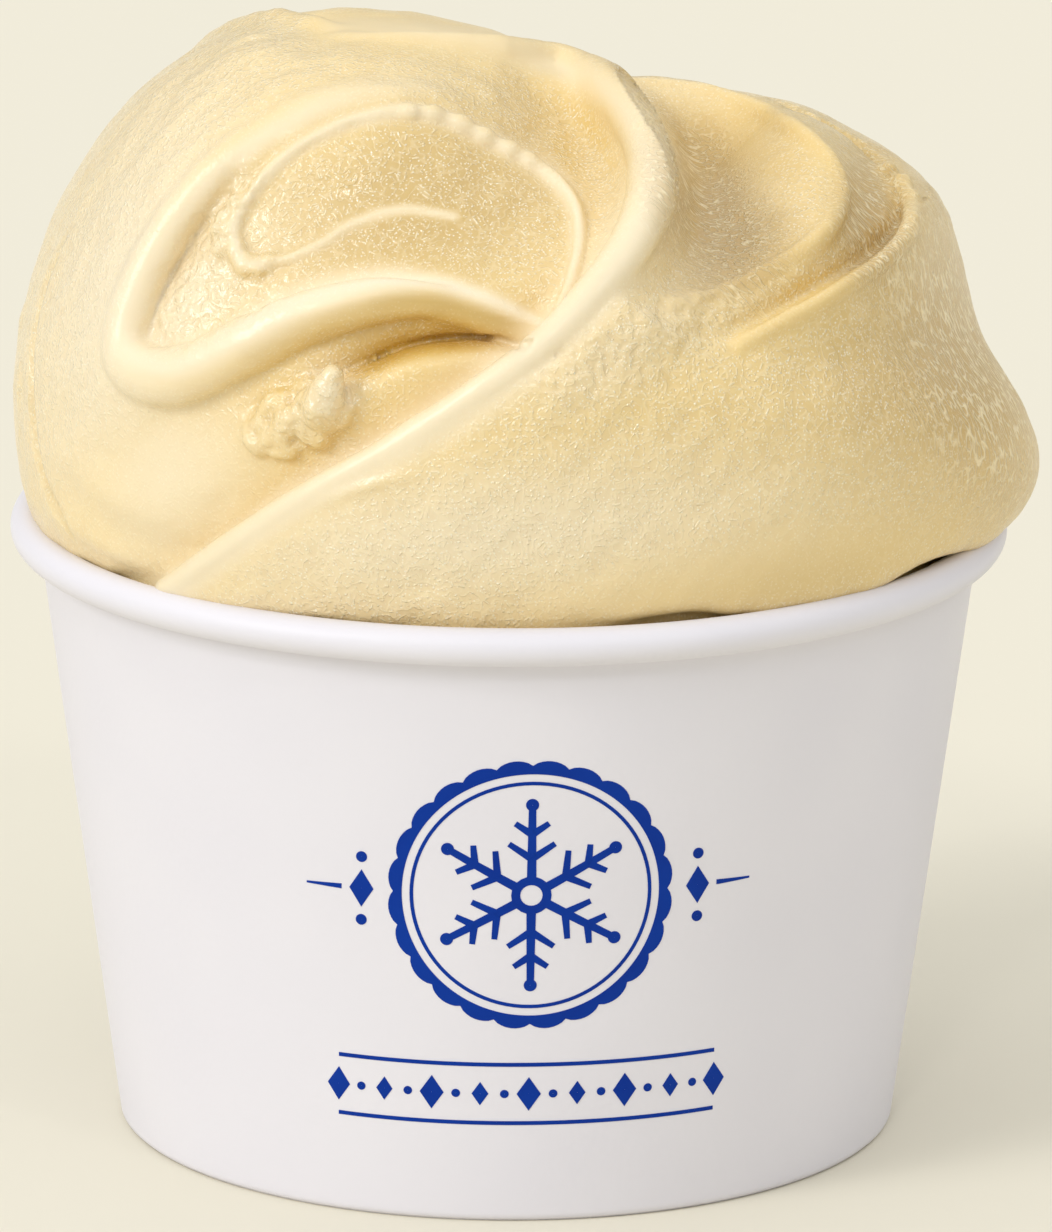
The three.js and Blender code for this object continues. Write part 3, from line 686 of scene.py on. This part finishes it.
class Nodes:
    """The nodes of a material or a world, with a short call for each kind."""

    def __init__(self, owner, last="Principled BSDF"):
        owner.use_nodes = True
        self.owner, self.tree = owner, owner.node_tree
        self.last = self.tree.nodes[last]

    def feed(self, node, inputs):
        """Links or sets a node's inputs, each given by name or number."""
        for key, value in dict(inputs).items():
            if isinstance(value, bpy.types.NodeSocket):
                self.tree.links.new(value, node.inputs[key])
            else:
                node.inputs[key].default_value = value

    def node(self, kind, inputs=()):
        node = self.tree.nodes.new("ShaderNode" + kind)
        self.feed(node, inputs)
        return node

    def calc(self, operation, *values, clamp=False):
        node = self.node("Math")
        node.operation, node.use_clamp = operation, clamp
        self.feed(node, enumerate(values))
        return node.outputs[0]

    def times(self, *values, clamp=False):
        """Two values multiplied, and a third one added."""
        return self.calc("MULTIPLY" if len(values) == 2 else "MULTIPLY_ADD", *values, clamp=clamp)

    def vector(self, operation, *values, output=0):
        node = self.node("VectorMath")
        node.operation = operation
        self.feed(node, enumerate(values))
        return node.outputs[output]

    def place(self, kind="Object"):
        return self.node("TexCoord").outputs[kind]

    def value(self, name):
        node = self.node("Attribute")
        node.attribute_name = name
        return node.outputs["Fac"]

    def mixed(self, share, first, second):
        node = self.node("Mix")
        node.data_type = "RGBA"
        self.feed(node, {"Factor": share, "A": first, "B": second})
        return node.outputs["Result"]

    def bumped(self, height, distance, strength):
        bump = self.node("Bump", {"Height": height, "Distance": distance, "Strength": strength})
        return bump.outputs["Normal"]

    def noise(self, place, scale):
        return self.node("TexNoise", {"Scale": scale, "Detail": 0, "Vector": place}).outputs["Fac"]

    def strewn(self, place, scale):
        return self.node("TexVoronoi", {"Scale": scale, "Vector": place}).outputs

    def rounded(self, value, start, end):
        """Easing from 0 at the start to 1 at the end."""
        node = self.node("MapRange")
        node.interpolation_type = "SMOOTHSTEP"
        self.feed(node, {"From Min": start, "From Max": end, "Value": value})
        return node.outputs["Result"]

    def ridges(self, noise, width):
        """Rounded winding ridges, where a noise crosses its middle."""
        return self.rounded(self.calc("ABSOLUTE", self.calc("SUBTRACT", noise, 0.5)), width, 0)

    def long_ridges(self, place, size, turn, width):
        """Ridges of a noise that is stretched to this size in metres and turned in the front view."""
        mapping = self.node("Mapping")
        mapping.vector_type = "TEXTURE"
        self.feed(mapping, {"Scale": size, "Rotation": (0, radians(turn), 0), "Vector": place})
        return self.ridges(self.noise(mapping.outputs[0], 1), width)

    def from_strokes(self, place, scale, half_length):
        """Distance from short strokes strewn in space, each turned at random."""
        cells = self.strewn(place, scale)
        heading = self.vector("NORMALIZE", self.vector("SUBTRACT", cells["Color"], (0.5, 0.5, 0.5)))
        reach = self.vector("SUBTRACT", place, cells["Position"])
        run = self.vector("DOT_PRODUCT", reach, heading, output="Value")
        run = self.calc("MAXIMUM", self.calc("MINIMUM", run, half_length), -half_length)
        beside = self.vector("SUBTRACT", reach, self.vector("MULTIPLY", heading, run))
        return self.vector("LENGTH", beside, output="Value")


# Painted glint: the near-white of the specks painted over the cream.
PAINTED_GLINT = linear(255, 249, 228)
# Painted highlight on the raised strokes, lines and wrinkles.
RIDGE_HIGHLIGHT_CREAM = linear(255, 240, 202)
# Painted light: the paler cream of lit places.
PAINTED_LIGHT_CREAM = linear(244, 230, 200)
CREAM = linear(238, 210, 145)
# Painted shade in the hollows and hidden places: a warmer cream.
HOLLOW_SHADE_CREAM = linear(229, 196, 117)
SHADED_CREAM = linear(204, 172, 102)
# Painted shade between streak lines.
STREAK_SHADE = linear(186, 149, 90)
# Painted shade in crevices and creases: a deep ochre.
CREVICE_SHADE_OCHRE = linear(204, 160, 46)

# The cells per metre of the fine relief and of the painted glints, and the sizes of its strokes and long
# ridges in metres.
WRINKLES_PER_M, STROKES_PER_M, GLINTS_PER_M = 1150, 1750, 2400
STROKE_HALF, STROKE_EDGE, STROKE_TOP = 0.00035, 0.00015, 0.00002
SCOOP_LINES = dict(size=(0.00052, 0.00052, 0.003), turn=-44, width=0.11)
FLANK_LINES = dict(size=(0.0006, 0.0006, 0.0018), turn=-14, width=0.12)
GELATO_BUMP, PAPER_BUMP = 0.0001, 0.00003
CLOUDS_PER_M, FIBRES_PER_M, INK_CLOUDS_PER_M = 90, 1400, 260
SURFACE_VALUES = "grain pebbles streaks fibres ochre mottle pale deep".split()


def gelato_material():
    nodes = Nodes(bpy.data.materials.new("gelato_cream"))
    calc, times, mixed, place = nodes.calc, nodes.times, nodes.mixed, nodes.place()
    grain, pebbles, streaks, fibres, ochre, mottle, pale, deep = map(nodes.value, SURFACE_VALUES)

    soft = nodes.noise(place, WRINKLES_PER_M)
    winding = times(nodes.ridges(soft, 0.1), grain)
    beside = nodes.from_strokes(place, STROKES_PER_M, STROKE_HALF)
    strokes = times(nodes.rounded(beside, STROKE_EDGE, STROKE_TOP), grain)
    # Painted glints: small near-white specks strewn over the wrinkled cream.
    from_glints = nodes.strewn(place, GLINTS_PER_M)["Distance"]
    painted_glints = times(nodes.rounded(from_glints, 0.3, 0.1), times(grain, 0.85, 0.08, clamp=True))
    pebble = times(soft, times(pebbles, 5, grain))
    lines = times(nodes.long_ridges(place, **SCOOP_LINES), streaks)
    lines = times(nodes.long_ridges(place, **FLANK_LINES), fibres, lines)
    height = times(winding, 0.5, times(lines, 2.8, calc("ADD", pebble, strokes)))
    bumped = nodes.bumped(height, GELATO_BUMP, 0.95)
    # The cream scatters light, so its fine relief shows mostly in its wet shine.
    smooth = nodes.node("NewGeometry").outputs["Normal"]
    softened = nodes.vector("ADD", nodes.vector("ADD", smooth, bumped), bumped)

    # Painted shade: the noise's hollows are painted warmer, the more so where a place is hidden.
    shaded_hollows = times(times(soft, -3, 1.5, clamp=True), grain)
    body = mixed(times(shaded_hollows, 0.25, mottle, clamp=True), CREAM, HOLLOW_SHADE_CREAM)
    # Painted shade in crevices, painted shade and painted light, in that order.
    for share, colour in ((ochre, CREVICE_SHADE_OCHRE), (deep, SHADED_CREAM), (pale, PAINTED_LIGHT_CREAM)):
        body = mixed(share, body, colour)
    # Painted shade between the streak and fibre lines and in the hollows.
    between = calc("SUBTRACT", calc("MAXIMUM", streaks, fibres), lines)
    between = calc("MAXIMUM", between, times(shaded_hollows, 0.15))
    body = mixed(times(between, 0.42, clamp=True), body, STREAK_SHADE)
    # Painted highlights: the raised strokes, lines and wrinkles are painted paler, as if lit.
    ridge_highlights = calc("MAXIMUM", calc("MAXIMUM", strokes, lines), times(winding, 0.3))
    body = mixed(times(ridge_highlights, 0.7), body, RIDGE_HIGHLIGHT_CREAM)
    nodes.feed(nodes.last, {
        "Base Color": mixed(times(painted_glints, 0.75), body, PAINTED_GLINT),
        "Roughness": times(strokes, -0.2, times(mottle, 0.06, 0.42)),
        "Normal": nodes.vector("NORMALIZE", softened),
        "Coat Normal": bumped,
        "Coat Weight": times(calc("MAXIMUM", grain, pebbles), 0.55, 0.1, clamp=True),
        "Specular IOR Level": 0.5, "Coat IOR": 1.7, "Coat Roughness": 0.16,
        "Subsurface Weight": 0.15, "Subsurface Radius": (1.0, 0.85, 0.6), "Subsurface Scale": 0.001})
    return nodes.owner


def paper_material(name, pale, dull):
    nodes = Nodes(bpy.data.materials.new(name))
    place = nodes.place()
    cloud, fibre = nodes.noise(place, CLOUDS_PER_M), nodes.noise(place, FIBRES_PER_M)
    nodes.feed(nodes.last, {
        "Base Color": nodes.mixed(cloud, pale, dull), "Roughness": nodes.times(cloud, 0.12, 0.4),
        "Normal": nodes.bumped(nodes.times(cloud, 3, fibre), PAPER_BUMP, 0.6)})
    return nodes.owner


def ink_material():
    nodes = Nodes(bpy.data.materials.new("blue_ink"))
    cloud = nodes.noise(nodes.place(), INK_CLOUDS_PER_M)
    nodes.feed(nodes.last, {
        "Base Color": nodes.mixed(cloud, linear(0, 46, 144), linear(3, 57, 158)),
        "Roughness": nodes.times(cloud, 0.15, 0.4), "Specular IOR Level": 0.12})
    return nodes.owner


gelato_cream = gelato_material()
coated_paper = paper_material("coated_paper", linear(233, 231, 238), linear(229, 227, 235))
disc_paper = paper_material("disc_paper", linear(230, 228, 232), linear(224, 222, 226))
blue_ink = ink_material()

# ---- the gelato's surface

# Bands are a path with its half widths and shares, and patches a place, half lengths, turn and
# share: where the surface is calm, where light is painted on, where shade is painted on and in its
# creases, and where it has other relief.
CALM_BANDS = [
    (CREST_PATH, [2, 2.4, 2.6, 2.6, 2.6, 2.4, 2.2], [1]), (THREAD_PATH, [1.1], [0.9]),
    (HAIRPIN_PATH, [2, 2.4, 2.6, 3.3, 3.2, 2.4], [0] + [1] * 7), (INNER_THREAD_PATH, [0.9], [0.8]),
    (INNER_ARC_PATH, [1.3], [0.8]), (OUTER_LIP_PATH, [1.4], [0.9]),
]
CALM_PATCHES = [
    ((-33, -9), (15, 9), 25, 0.75), ((-6, 0.5), (9, 4), 30, 0.75), ((19, 25), (8, 5), -15, 0.75),
    ((22, -17.5), (24, 4), 12, 0.8), ((-8, 3.5), (10, 2.6), -6, 0.8),
]
STREAK_PATCHES = [((18.5, 17.5), (9.5, 5), -60, 1), ((34, 17), (8, 3.6), 100, 1)]
FIBRE_PATCHES = [((44, 3), (16, 7), 110, 1)]
PEBBLE_PATCHES = [
    ((12, 5), (12, 3.4), 30, 1), ((-21.4, -2.4), (6, 3.6), 24, 1), ((-26.5, 9.5), (5, 3), 30, 0.8),
]
# Painted light: where the crest, the rolls' lit tops, the threads and the lit side are painted paler.
PAINTED_LIGHT_BANDS = [
    (CREST_PATH, [1, 1.6, 2.6, 3, 2.8, 2.4], [0.3, 0.6, 0.9, 0.9, 0.9]),
    (HAIRPIN_PATH[:6] + shifted(HAIRPIN_PATH[6:8], 0.9) + shifted(HAIRPIN_PATH[8:], 1.4),
     [1.4, 1.6, 2.2, 2.4, 0.9, 0.7], [0, 0.7] + [0.9] * 6),
    (THREAD_PATH, [0.9], [0.8]), (INNER_THREAD_PATH, [0.8, 0.7, 0.6, 0.4], [0.7]),
]
PAINTED_LIGHT_PATCHES = [
    ((-38, 8), (12, 22), -15, 0.9), ((-34, -8), (10, 12), 0, 0.75), ((-4, -13.6), (32, 7.6), 6, 0.8),
    ((8, 3.6), (10, 4.6), 35, 0.45), ((41, 10), (5, 9), 10, 0.35), ((-18.4, -0.2), (2.8, 3.2), 0, 0.8),
    ((-21.4, -2.6), (5, 3), 24, 0.4),
]
# Painted shade: where the cream is painted as if in shadow, under the arm, beside the crest, in the eye
# and the scoops.
PAINTED_SHADE_BANDS = [
    (shifted(HAIRPIN_PATH[8:], -0.1), [1.5, 1.7, 1.7, 1.4], [0.9]),
    (BESIDE_CREST_PATH, [0.7, 1.2, 1.5, 1.5, 1.2], [1]), (ARM_FOOT_PATH, [1.2, 1.8, 1.8, 1.8, 1.6], [0.8]),
]
PAINTED_SHADE_PATCHES = [
    ((-9, 17.5), (17, 9), 20, 1), ((17, 19), (4.4, 8.5), 12, 1), ((21, 14), (7, 4), 20, 0.95),
    ((33, 16), (4.4, 7), -10, 0.85), ((38, 3), (9, 14), 0, 0.85), ((24, 24), (6, 4), -35, 0.4),
    ((27, -18), (14, 3.6), 12, 0.4),
]
# Painted shade along the crease under the roll and at the arm's foot.
CREASE_SHADE_BANDS = [
    (CREASE_PATH, [0.7, 0.6, 0.5, 0.4], [1, 0.9]), (ARM_FOOT_PATH, [0.7, 1, 1, 1, 0.8], [0.45]),
    (shifted(CREASE_PATH, -0.6), [1.3, 1.4, 1.1, 0.9, 0.7], [0.8]),
    (shifted(CREASE_PATH, 1.2), [1.8, 2.2, 2.2, 2, 1.6], [0.45]),
]
# How far out of the surface there has to be room, in mm, and how much that counts.
HIDDEN_REACHES = [(0.8, 0.25), (2, 0.3), (4.5, 0.25), (9, 0.2)]
CREASED_TURN = 48


def band(points, path, width, share):
    """How much of its share a place has for being near a path."""
    line, fractions = spline(path)
    distance, _, found = nearest_on_line(points, line, in_columns(fractions, width, share))
    return np.exp(-(distance / found[:, 0])**2) * found[:, 1]


def strongest(points, bands, patches, flatness=2):
    """The largest share that any band or patch gives each place."""
    shares = [band(points, *each) for each in bands]
    return np.maximum.reduce(shares + [dish_height(points, *patch, flatness) for patch in patches])


def surface_values(local, normal):
    """What the material needs to know about each place: how wrinkled and how hidden it is, and where light
    and shade are painted.
    """
    seen = np.stack(seen_place(local), 1)
    front = smooth_step(local[:, 2], -6, 4)
    back = 1 - front
    streaks, fibres, pebbles = (
        sum(dish_height(seen, *patch) for patch in patches)
        for patches in (STREAK_PATCHES, FIBRE_PATCHES, PEBBLE_PATCHES))
    pebbles = pebbles + band(seen, INSIDE_ARM_PATH, [2.2], [1])
    grain = 1 - strongest(seen, CALM_BANDS, CALM_PATCHES, 3)
    grain = grain * (1 - 0.8 * np.clip(streaks + fibres, 0, 1))
    hidden = 0
    for reach, weight in HIDDEN_REACHES:
        room = gelato_field(local + normal * reach) / reach
        hidden = hidden + weight * np.clip(1 - room, 0, 1)
    # The pale share is painted light; the back is painted a little paler all round.
    pale = strongest(seen, PAINTED_LIGHT_BANDS, PAINTED_LIGHT_PATCHES)
    # The deep share is painted shade, only in front and not where light is painted.
    deep = strongest(seen, PAINTED_SHADE_BANDS, PAINTED_SHADE_PATCHES)
    # Painted shade in the crease lines and in the most hidden places, as ochre.
    crease_shade = strongest(seen, CREASE_SHADE_BANDS, [])
    # Painted shade where a place is hidden, with a little random mottling from this noise, for the warmer
    # cream in hollows and the roughness.
    mottle = 0.6 * soft_noise(local, 7) + 0.4 * soft_noise(local + 50, 3)
    return dict(
        pale=np.clip(pale * front + 0.35 * back, 0, 1),
        deep=np.clip(deep * (1 - pale) * front, 0, 1),
        ochre=np.maximum(np.clip((hidden - 0.78) * 6, 0, 1), crease_shade * front),
        grain=np.clip(grain * front + 0.75 * back, 0, 1),
        pebbles=np.clip(pebbles, 0, 1) * front,
        streaks=np.clip(streaks, 0, 1) * front,
        fibres=np.clip(fibres, 0, 1) * front + 0.15 * back,
        mottle=np.clip(1.4 * hidden + 0.2 * mottle, 0, 1))


def lumps(local, values):
    """The uneven surface that the spatula leaves, in mm along the surface's normal."""
    uneven = 0.13 * soft_noise(local, 3.4) + 0.06 * soft_noise(local + 20, 1.7)
    pebbled = 0.26 * np.maximum(soft_noise(local + 40, 1.15), -0.3)
    a, b, w = local.T
    run, across = turned(a, b, CREASED_TURN)
    creased = 0.14 * soft_noise(np.stack([run / 3.4, across, w], 1), 1.9)
    return (uneven + creased) * (0.35 + 0.65 * values["grain"]) + pebbled * values["pebbles"]


def gelato_piece():
    vertices, quads = surface_net(sampled_lattice(gelato_field))
    vertices = on_surface(gelato_field, vertices)
    normal = normals_of(gelato_field, vertices)
    values = surface_values(vertices, normal)
    points = in_cup(vertices + normal * lumps(vertices, values)[:, None])
    quads = quads[(points[quads][:, :, 2] > PLUG_TOP).all(1)]
    used, quads = np.unique(quads, return_inverse=True)
    quads = quads.reshape(-1, 4)
    points = points[used]
    base = len(points)
    # The plug under the mound, from the loop of edges that only one quad has to the cup's floor.
    edges = np.concatenate([quads[:, [i, (i + 1) % 4]] for i in range(4)])
    keys = edges.min(1).astype(np.int64) * base + edges.max(1)
    _, first, counts = np.unique(keys, return_index=True, return_counts=True)
    following = dict(edges[first[counts == 1]].tolist())
    start = next(iter(following))
    loop = [start]
    while following[loop[-1]] != start:
        loop.append(following[loop[-1]])
    angle = np.arctan2(points[loop, 1], points[loop, 0])
    radius = FOOT_RADIUS + WALL_SLOPE * GELATO_BOTTOM - PAPER - FIT_GAP
    bottom = np.stack([radius * np.cos(angle), radius * np.sin(angle),
                       np.full(len(loop), GELATO_BOTTOM)], 1)
    points = np.vstack([points, bottom, [[0, 0, GELATO_BOTTOM]]])
    middle = len(points) - 1
    faces = quads.tolist()
    for i in range(len(loop)):
        j = (i + 1) % len(loop)
        faces += [[loop[j], loop[i], base + i, base + j], [base + j, base + i, middle]]
    piece = mesh_object("gelato_mound", points, faces, gelato_cream)
    for name, found in values.items():
        layer = piece.data.attributes.new(name, "FLOAT", "POINT")
        found = np.concatenate([found[used], np.zeros(len(points) - base)])
        layer.data.foreach_set("value", found.astype(np.float32))
    return piece


# ---- the cup and its print

CUP_SEGMENTS = 256
FOOT_ROUNDING = 0.4


def wall_point(height, inset=0.0):
    return FOOT_RADIUS + WALL_SLOPE * height - inset, height


def cup_wall_piece():
    fold = FOOT_RADIUS - FOOT_FOLD_THICKNESS
    bead = [(BEAD_CENTRE_RADIUS + BEAD_RADIUS * cos(angle),
             BEAD_CENTRE_HEIGHT + BEAD_RADIUS * sin(angle))
            for angle in np.radians(np.linspace(-116, 207, 40))]
    profile = np.array([
        (FOOT_RADIUS - FOOT_ROUNDING, 0),
        *(wall_point(height) for height in (FOOT_ROUNDING, 0.8, 2, 28, 55, 56.6)), *bead,
        *(wall_point(height, PAPER) for height in (56, 54, 28, FOOT_FOLD_HEIGHT + 1, FOOT_FOLD_HEIGHT)),
        (fold, FOOT_FOLD_HEIGHT), (fold, 0)])
    angles = np.arange(CUP_SEGMENTS) * 2 * np.pi / CUP_SEGMENTS
    points = np.stack([
        np.outer(profile[:, 0], np.cos(angles)), np.outer(profile[:, 0], np.sin(angles)),
        np.outer(profile[:, 1], np.ones(CUP_SEGMENTS))], -1).reshape(-1, 3)
    faces = sheet_faces(len(profile), CUP_SEGMENTS, True, True)
    return mesh_object("cup_paper", points, faces, coated_paper)


# The print: a snowflake in a scalloped ring, with a row of diamonds and dots under it.
PRINT_TURN = 3.2
PRINT_DEPTH = 0.04
MEDALLION_HEIGHT, MEDALLION_RADIUS, SCALLOPS = 33.5, 13.6, 24
SCALLOP_DEPTH, SCALLOP_POWER = 0.55, 0.7
ROW_HEIGHT, ROW_PITCH, ROW_COUNT = 13.2, 4.6, 9
BAR_STEP, DOT_HOLE = 1.2, 0.02


def sheet(rows, round_rows=False):
    """A flat shape between rows of points, clockwise in the front view."""
    return np.vstack(rows), sheet_faces(len(rows), len(rows[0]), round_rows)


def ring(place, outer, inner, count=96):
    """A flat ring, whose outer radius is a number or a function of the angle."""
    angles = np.linspace(0, 2 * np.pi, count, endpoint=False)
    heading = np.stack([np.cos(angles), np.sin(angles)])
    radius = outer(angles) if callable(outer) else outer
    return sheet([place + (heading * inner).T, place + (heading * radius).T], True)


def bar(start, stop, width, end_width):
    run = np.array(stop, float) - start
    length = np.hypot(*run)
    share = np.linspace(0, 1, int(length / BAR_STEP) + 2)[:, None]
    aside = np.array([-run[1], run[0]]) / length * (width + (end_width - width) * share) / 2
    return sheet([start + run * share + aside, start + run * share - aside])


def dot(place, radius):
    return ring(place, radius, DOT_HOLE, 20)


def diamond(place, half_width, half_height):
    def reach(angles):
        return 1 / (np.abs(np.cos(angles)) / half_width + np.abs(np.sin(angles)) / half_height)

    return ring(place, reach, DOT_HOLE, 16)


def snowflake(place, radius):
    shapes = [ring(place, 1.9, 1.05, 24)]
    for angle in np.radians(np.arange(30, 390, 60)):
        ahead = np.array([cos(angle), sin(angle)])
        shapes.append(bar(place + ahead * 1.5, place + ahead * radius, 0.9, 0.7))
        shapes.append(dot(place + ahead * (radius + 0.35), 0.62))
        for share, length in ((0.42, 0.3), (0.7, 0.22)):
            for lean in (-1, 1):
                side = angle + lean * radians(55)
                root = place + ahead * radius * share
                reach = radius * length * np.array([cos(side), sin(side)])
                shapes.append(bar(root, root + reach, 0.75, 0.55))
    return shapes


def print_shapes():
    middle, edge = np.array([0.0, MEDALLION_HEIGHT]), MEDALLION_RADIUS

    def scalloped(angles):
        return edge - 0.5 + SCALLOP_DEPTH * np.abs(np.sin(angles * SCALLOPS / 2))**SCALLOP_POWER

    shapes = [ring(middle, scalloped, edge - 1.35, SCALLOPS * 8), ring(middle, edge - 2.1, edge - 2.45)]
    shapes += snowflake(middle, edge - 4.8)
    for side in (-1, 1):
        shapes.append(diamond(middle + [side * (edge + 2.6), 0], 1.2, 1.9))
        shapes.append(bar(middle + [side * (edge + 4.6), 0], middle + [side * (edge + 8.2), 0], 0.5, 0.2))
        for lean in (-1, 1):
            shapes.append(dot(middle + [side * (edge + 2.6), lean * 3.2], 0.55))
    line_half = (ROW_COUNT - 1) / 2 * ROW_PITCH
    for index in range(ROW_COUNT):
        across = index * ROW_PITCH - line_half
        half = 1.15 if index % 2 == 0 else 0.8
        shapes.append(diamond((across, ROW_HEIGHT), half, half * 1.5))
        if index + 1 < ROW_COUNT:
            shapes.append(dot((across + ROW_PITCH / 2, ROW_HEIGHT), 0.42))
    for height in (ROW_HEIGHT - 3, ROW_HEIGHT + 3):
        shapes.append(bar((-line_half, height), (line_half, height), 0.4, 0.4))
    return shapes


def slab_piece(name, shapes, place, depth, material):
    """Flat shapes as slabs this deep on both sides of the wall's face, at a place in degrees."""
    points, faces, base = [], [], 0
    for flat, quads in shapes:
        wall_radius = FOOT_RADIUS + WALL_SLOPE * flat[:, 1]
        turn = flat[:, 0] / wall_radius + radians(place)
        for radius in (wall_radius + depth, wall_radius - depth):
            points.append(np.stack([radius * np.sin(turn), -radius * np.cos(turn), flat[:, 1]], 1))
        under = base + len(flat)
        sides = {}
        for quad in quads:
            for side in zip(quad, quad[1:] + quad[:1]):
                sides[frozenset(side)] = None if frozenset(side) in sides else side
            faces += [[base + i for i in reversed(quad)], [under + i for i in quad]]
        faces += [[base + i, base + j, under + j, under + i] for i, j in filter(None, sides.values())]
        base += 2 * len(flat)
    return mesh_object(name, np.vstack(points), faces, material, smooth=False)


SEAM_WIDTH, SEAM_DEPTH = 9.0, 0.3
SEAM_BOTTOM, SEAM_TOP = 0.4, 56.4
seam_heights = np.linspace(SEAM_BOTTOM, SEAM_TOP, 30)
seam_shape = sheet([np.stack([np.full(30, across), seam_heights], 1)
                    for across in np.linspace(-SEAM_WIDTH / 2, SEAM_WIDTH / 2, 7)])

gelato = gelato_piece()
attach(gelato, "root")
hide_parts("gelato")
cup = cup_wall_piece()
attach(cup, "root")
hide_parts("cup_wall")
cup_print = slab_piece("cup_print", print_shapes(), PRINT_TURN, PRINT_DEPTH, blue_ink)
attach(cup_print, "root")
cup_seam = slab_piece("cup_seam", [seam_shape], 180, SEAM_DEPTH, coated_paper)
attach(cup_seam, "root")
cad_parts["cup_floor"].data.materials.clear()
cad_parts["cup_floor"].data.materials.append(disc_paper)

# ---- floor, light and camera

FLOOR_HALF = 6000.0
floor_paint = Nodes(bpy.data.materials.new("floor_paint"))
floor_paint.feed(floor_paint.last, {"Base Color": linear(229, 223, 205), "Roughness": 0.9})
floor_corners = [(x * FLOOR_HALF, y * FLOOR_HALF, 0) for x, y in ((-1, -1), (1, -1), (1, 1), (-1, 1))]
floor = mesh_object("floor", floor_corners, [(0, 1, 2, 3)], floor_paint.owner, smooth=False)

# The sky is brighter towards the top.
SKY_LOW, SKY_HIGH = 0.3, 1.2
world = bpy.data.worlds.new("studio")
sky = Nodes(world, "Background")
heights = sky.node("SeparateXYZ", {0: sky.place("Generated")}).outputs["Z"]
brightness = sky.node("MapRange", {"Value": heights, "To Min": SKY_LOW, "To Max": SKY_HIGH})
sky.feed(sky.last, {"Strength": brightness.outputs["Result"], "Color": (0.975, 0.985, 0.99, 1)})
bpy.context.scene.world = world


def sun(name, direction, strength, softness):
    light = bpy.data.lights.new(name, "SUN")
    light.energy = strength
    light.angle = radians(softness)
    lamp = bpy.data.objects.new(name, light)
    lamp.rotation_mode = "QUATERNION"
    lamp.rotation_quaternion = Vector(direction).to_track_quat("Z", "Y")
    collection.objects.link(lamp)


sun("key", (-0.74, -0.50, 0.50), 1.06, 26)
for number, direction in enumerate(((-0.6, -0.45, 0.66), (-0.1, -0.75, 0.65), (0.45, -0.65, 0.6))):
    sun(f"glint_{number}", direction, 0.14, 6)

CAMERA_PITCH = 0.2628
CAMERA_ROLL = 0.0051
CAMERA_DISTANCE = 1200.0
CAMERA_AIM = np.array([1.705, 0.0, 49.31])
FOCAL_PIXELS, PICTURE_HEIGHT = 12425.0, 1232.0
SENSOR = 36.0

forward = np.array([0, cos(CAMERA_PITCH), -sin(CAMERA_PITCH)])
camera_place = (CAMERA_AIM - forward * CAMERA_DISTANCE) * MM + CUP_AXIS
camera_data = bpy.data.cameras.new("camera")
camera_data.sensor_width = SENSOR
camera_data.lens = FOCAL_PIXELS / PICTURE_HEIGHT * SENSOR
camera_data.clip_start, camera_data.clip_end = 0.05, 20
camera = bpy.data.objects.new("camera", camera_data)
axes = Matrix.Rotation(pi / 2 - CAMERA_PITCH, 4, "X") @ Matrix.Rotation(CAMERA_ROLL, 4, "Z")
camera.matrix_world = Matrix.Translation(Vector(camera_place)) @ axes
collection.objects.link(camera)
bpy.context.scene.camera = camera
bpy.context.scene.view_settings.view_transform = "Standard"
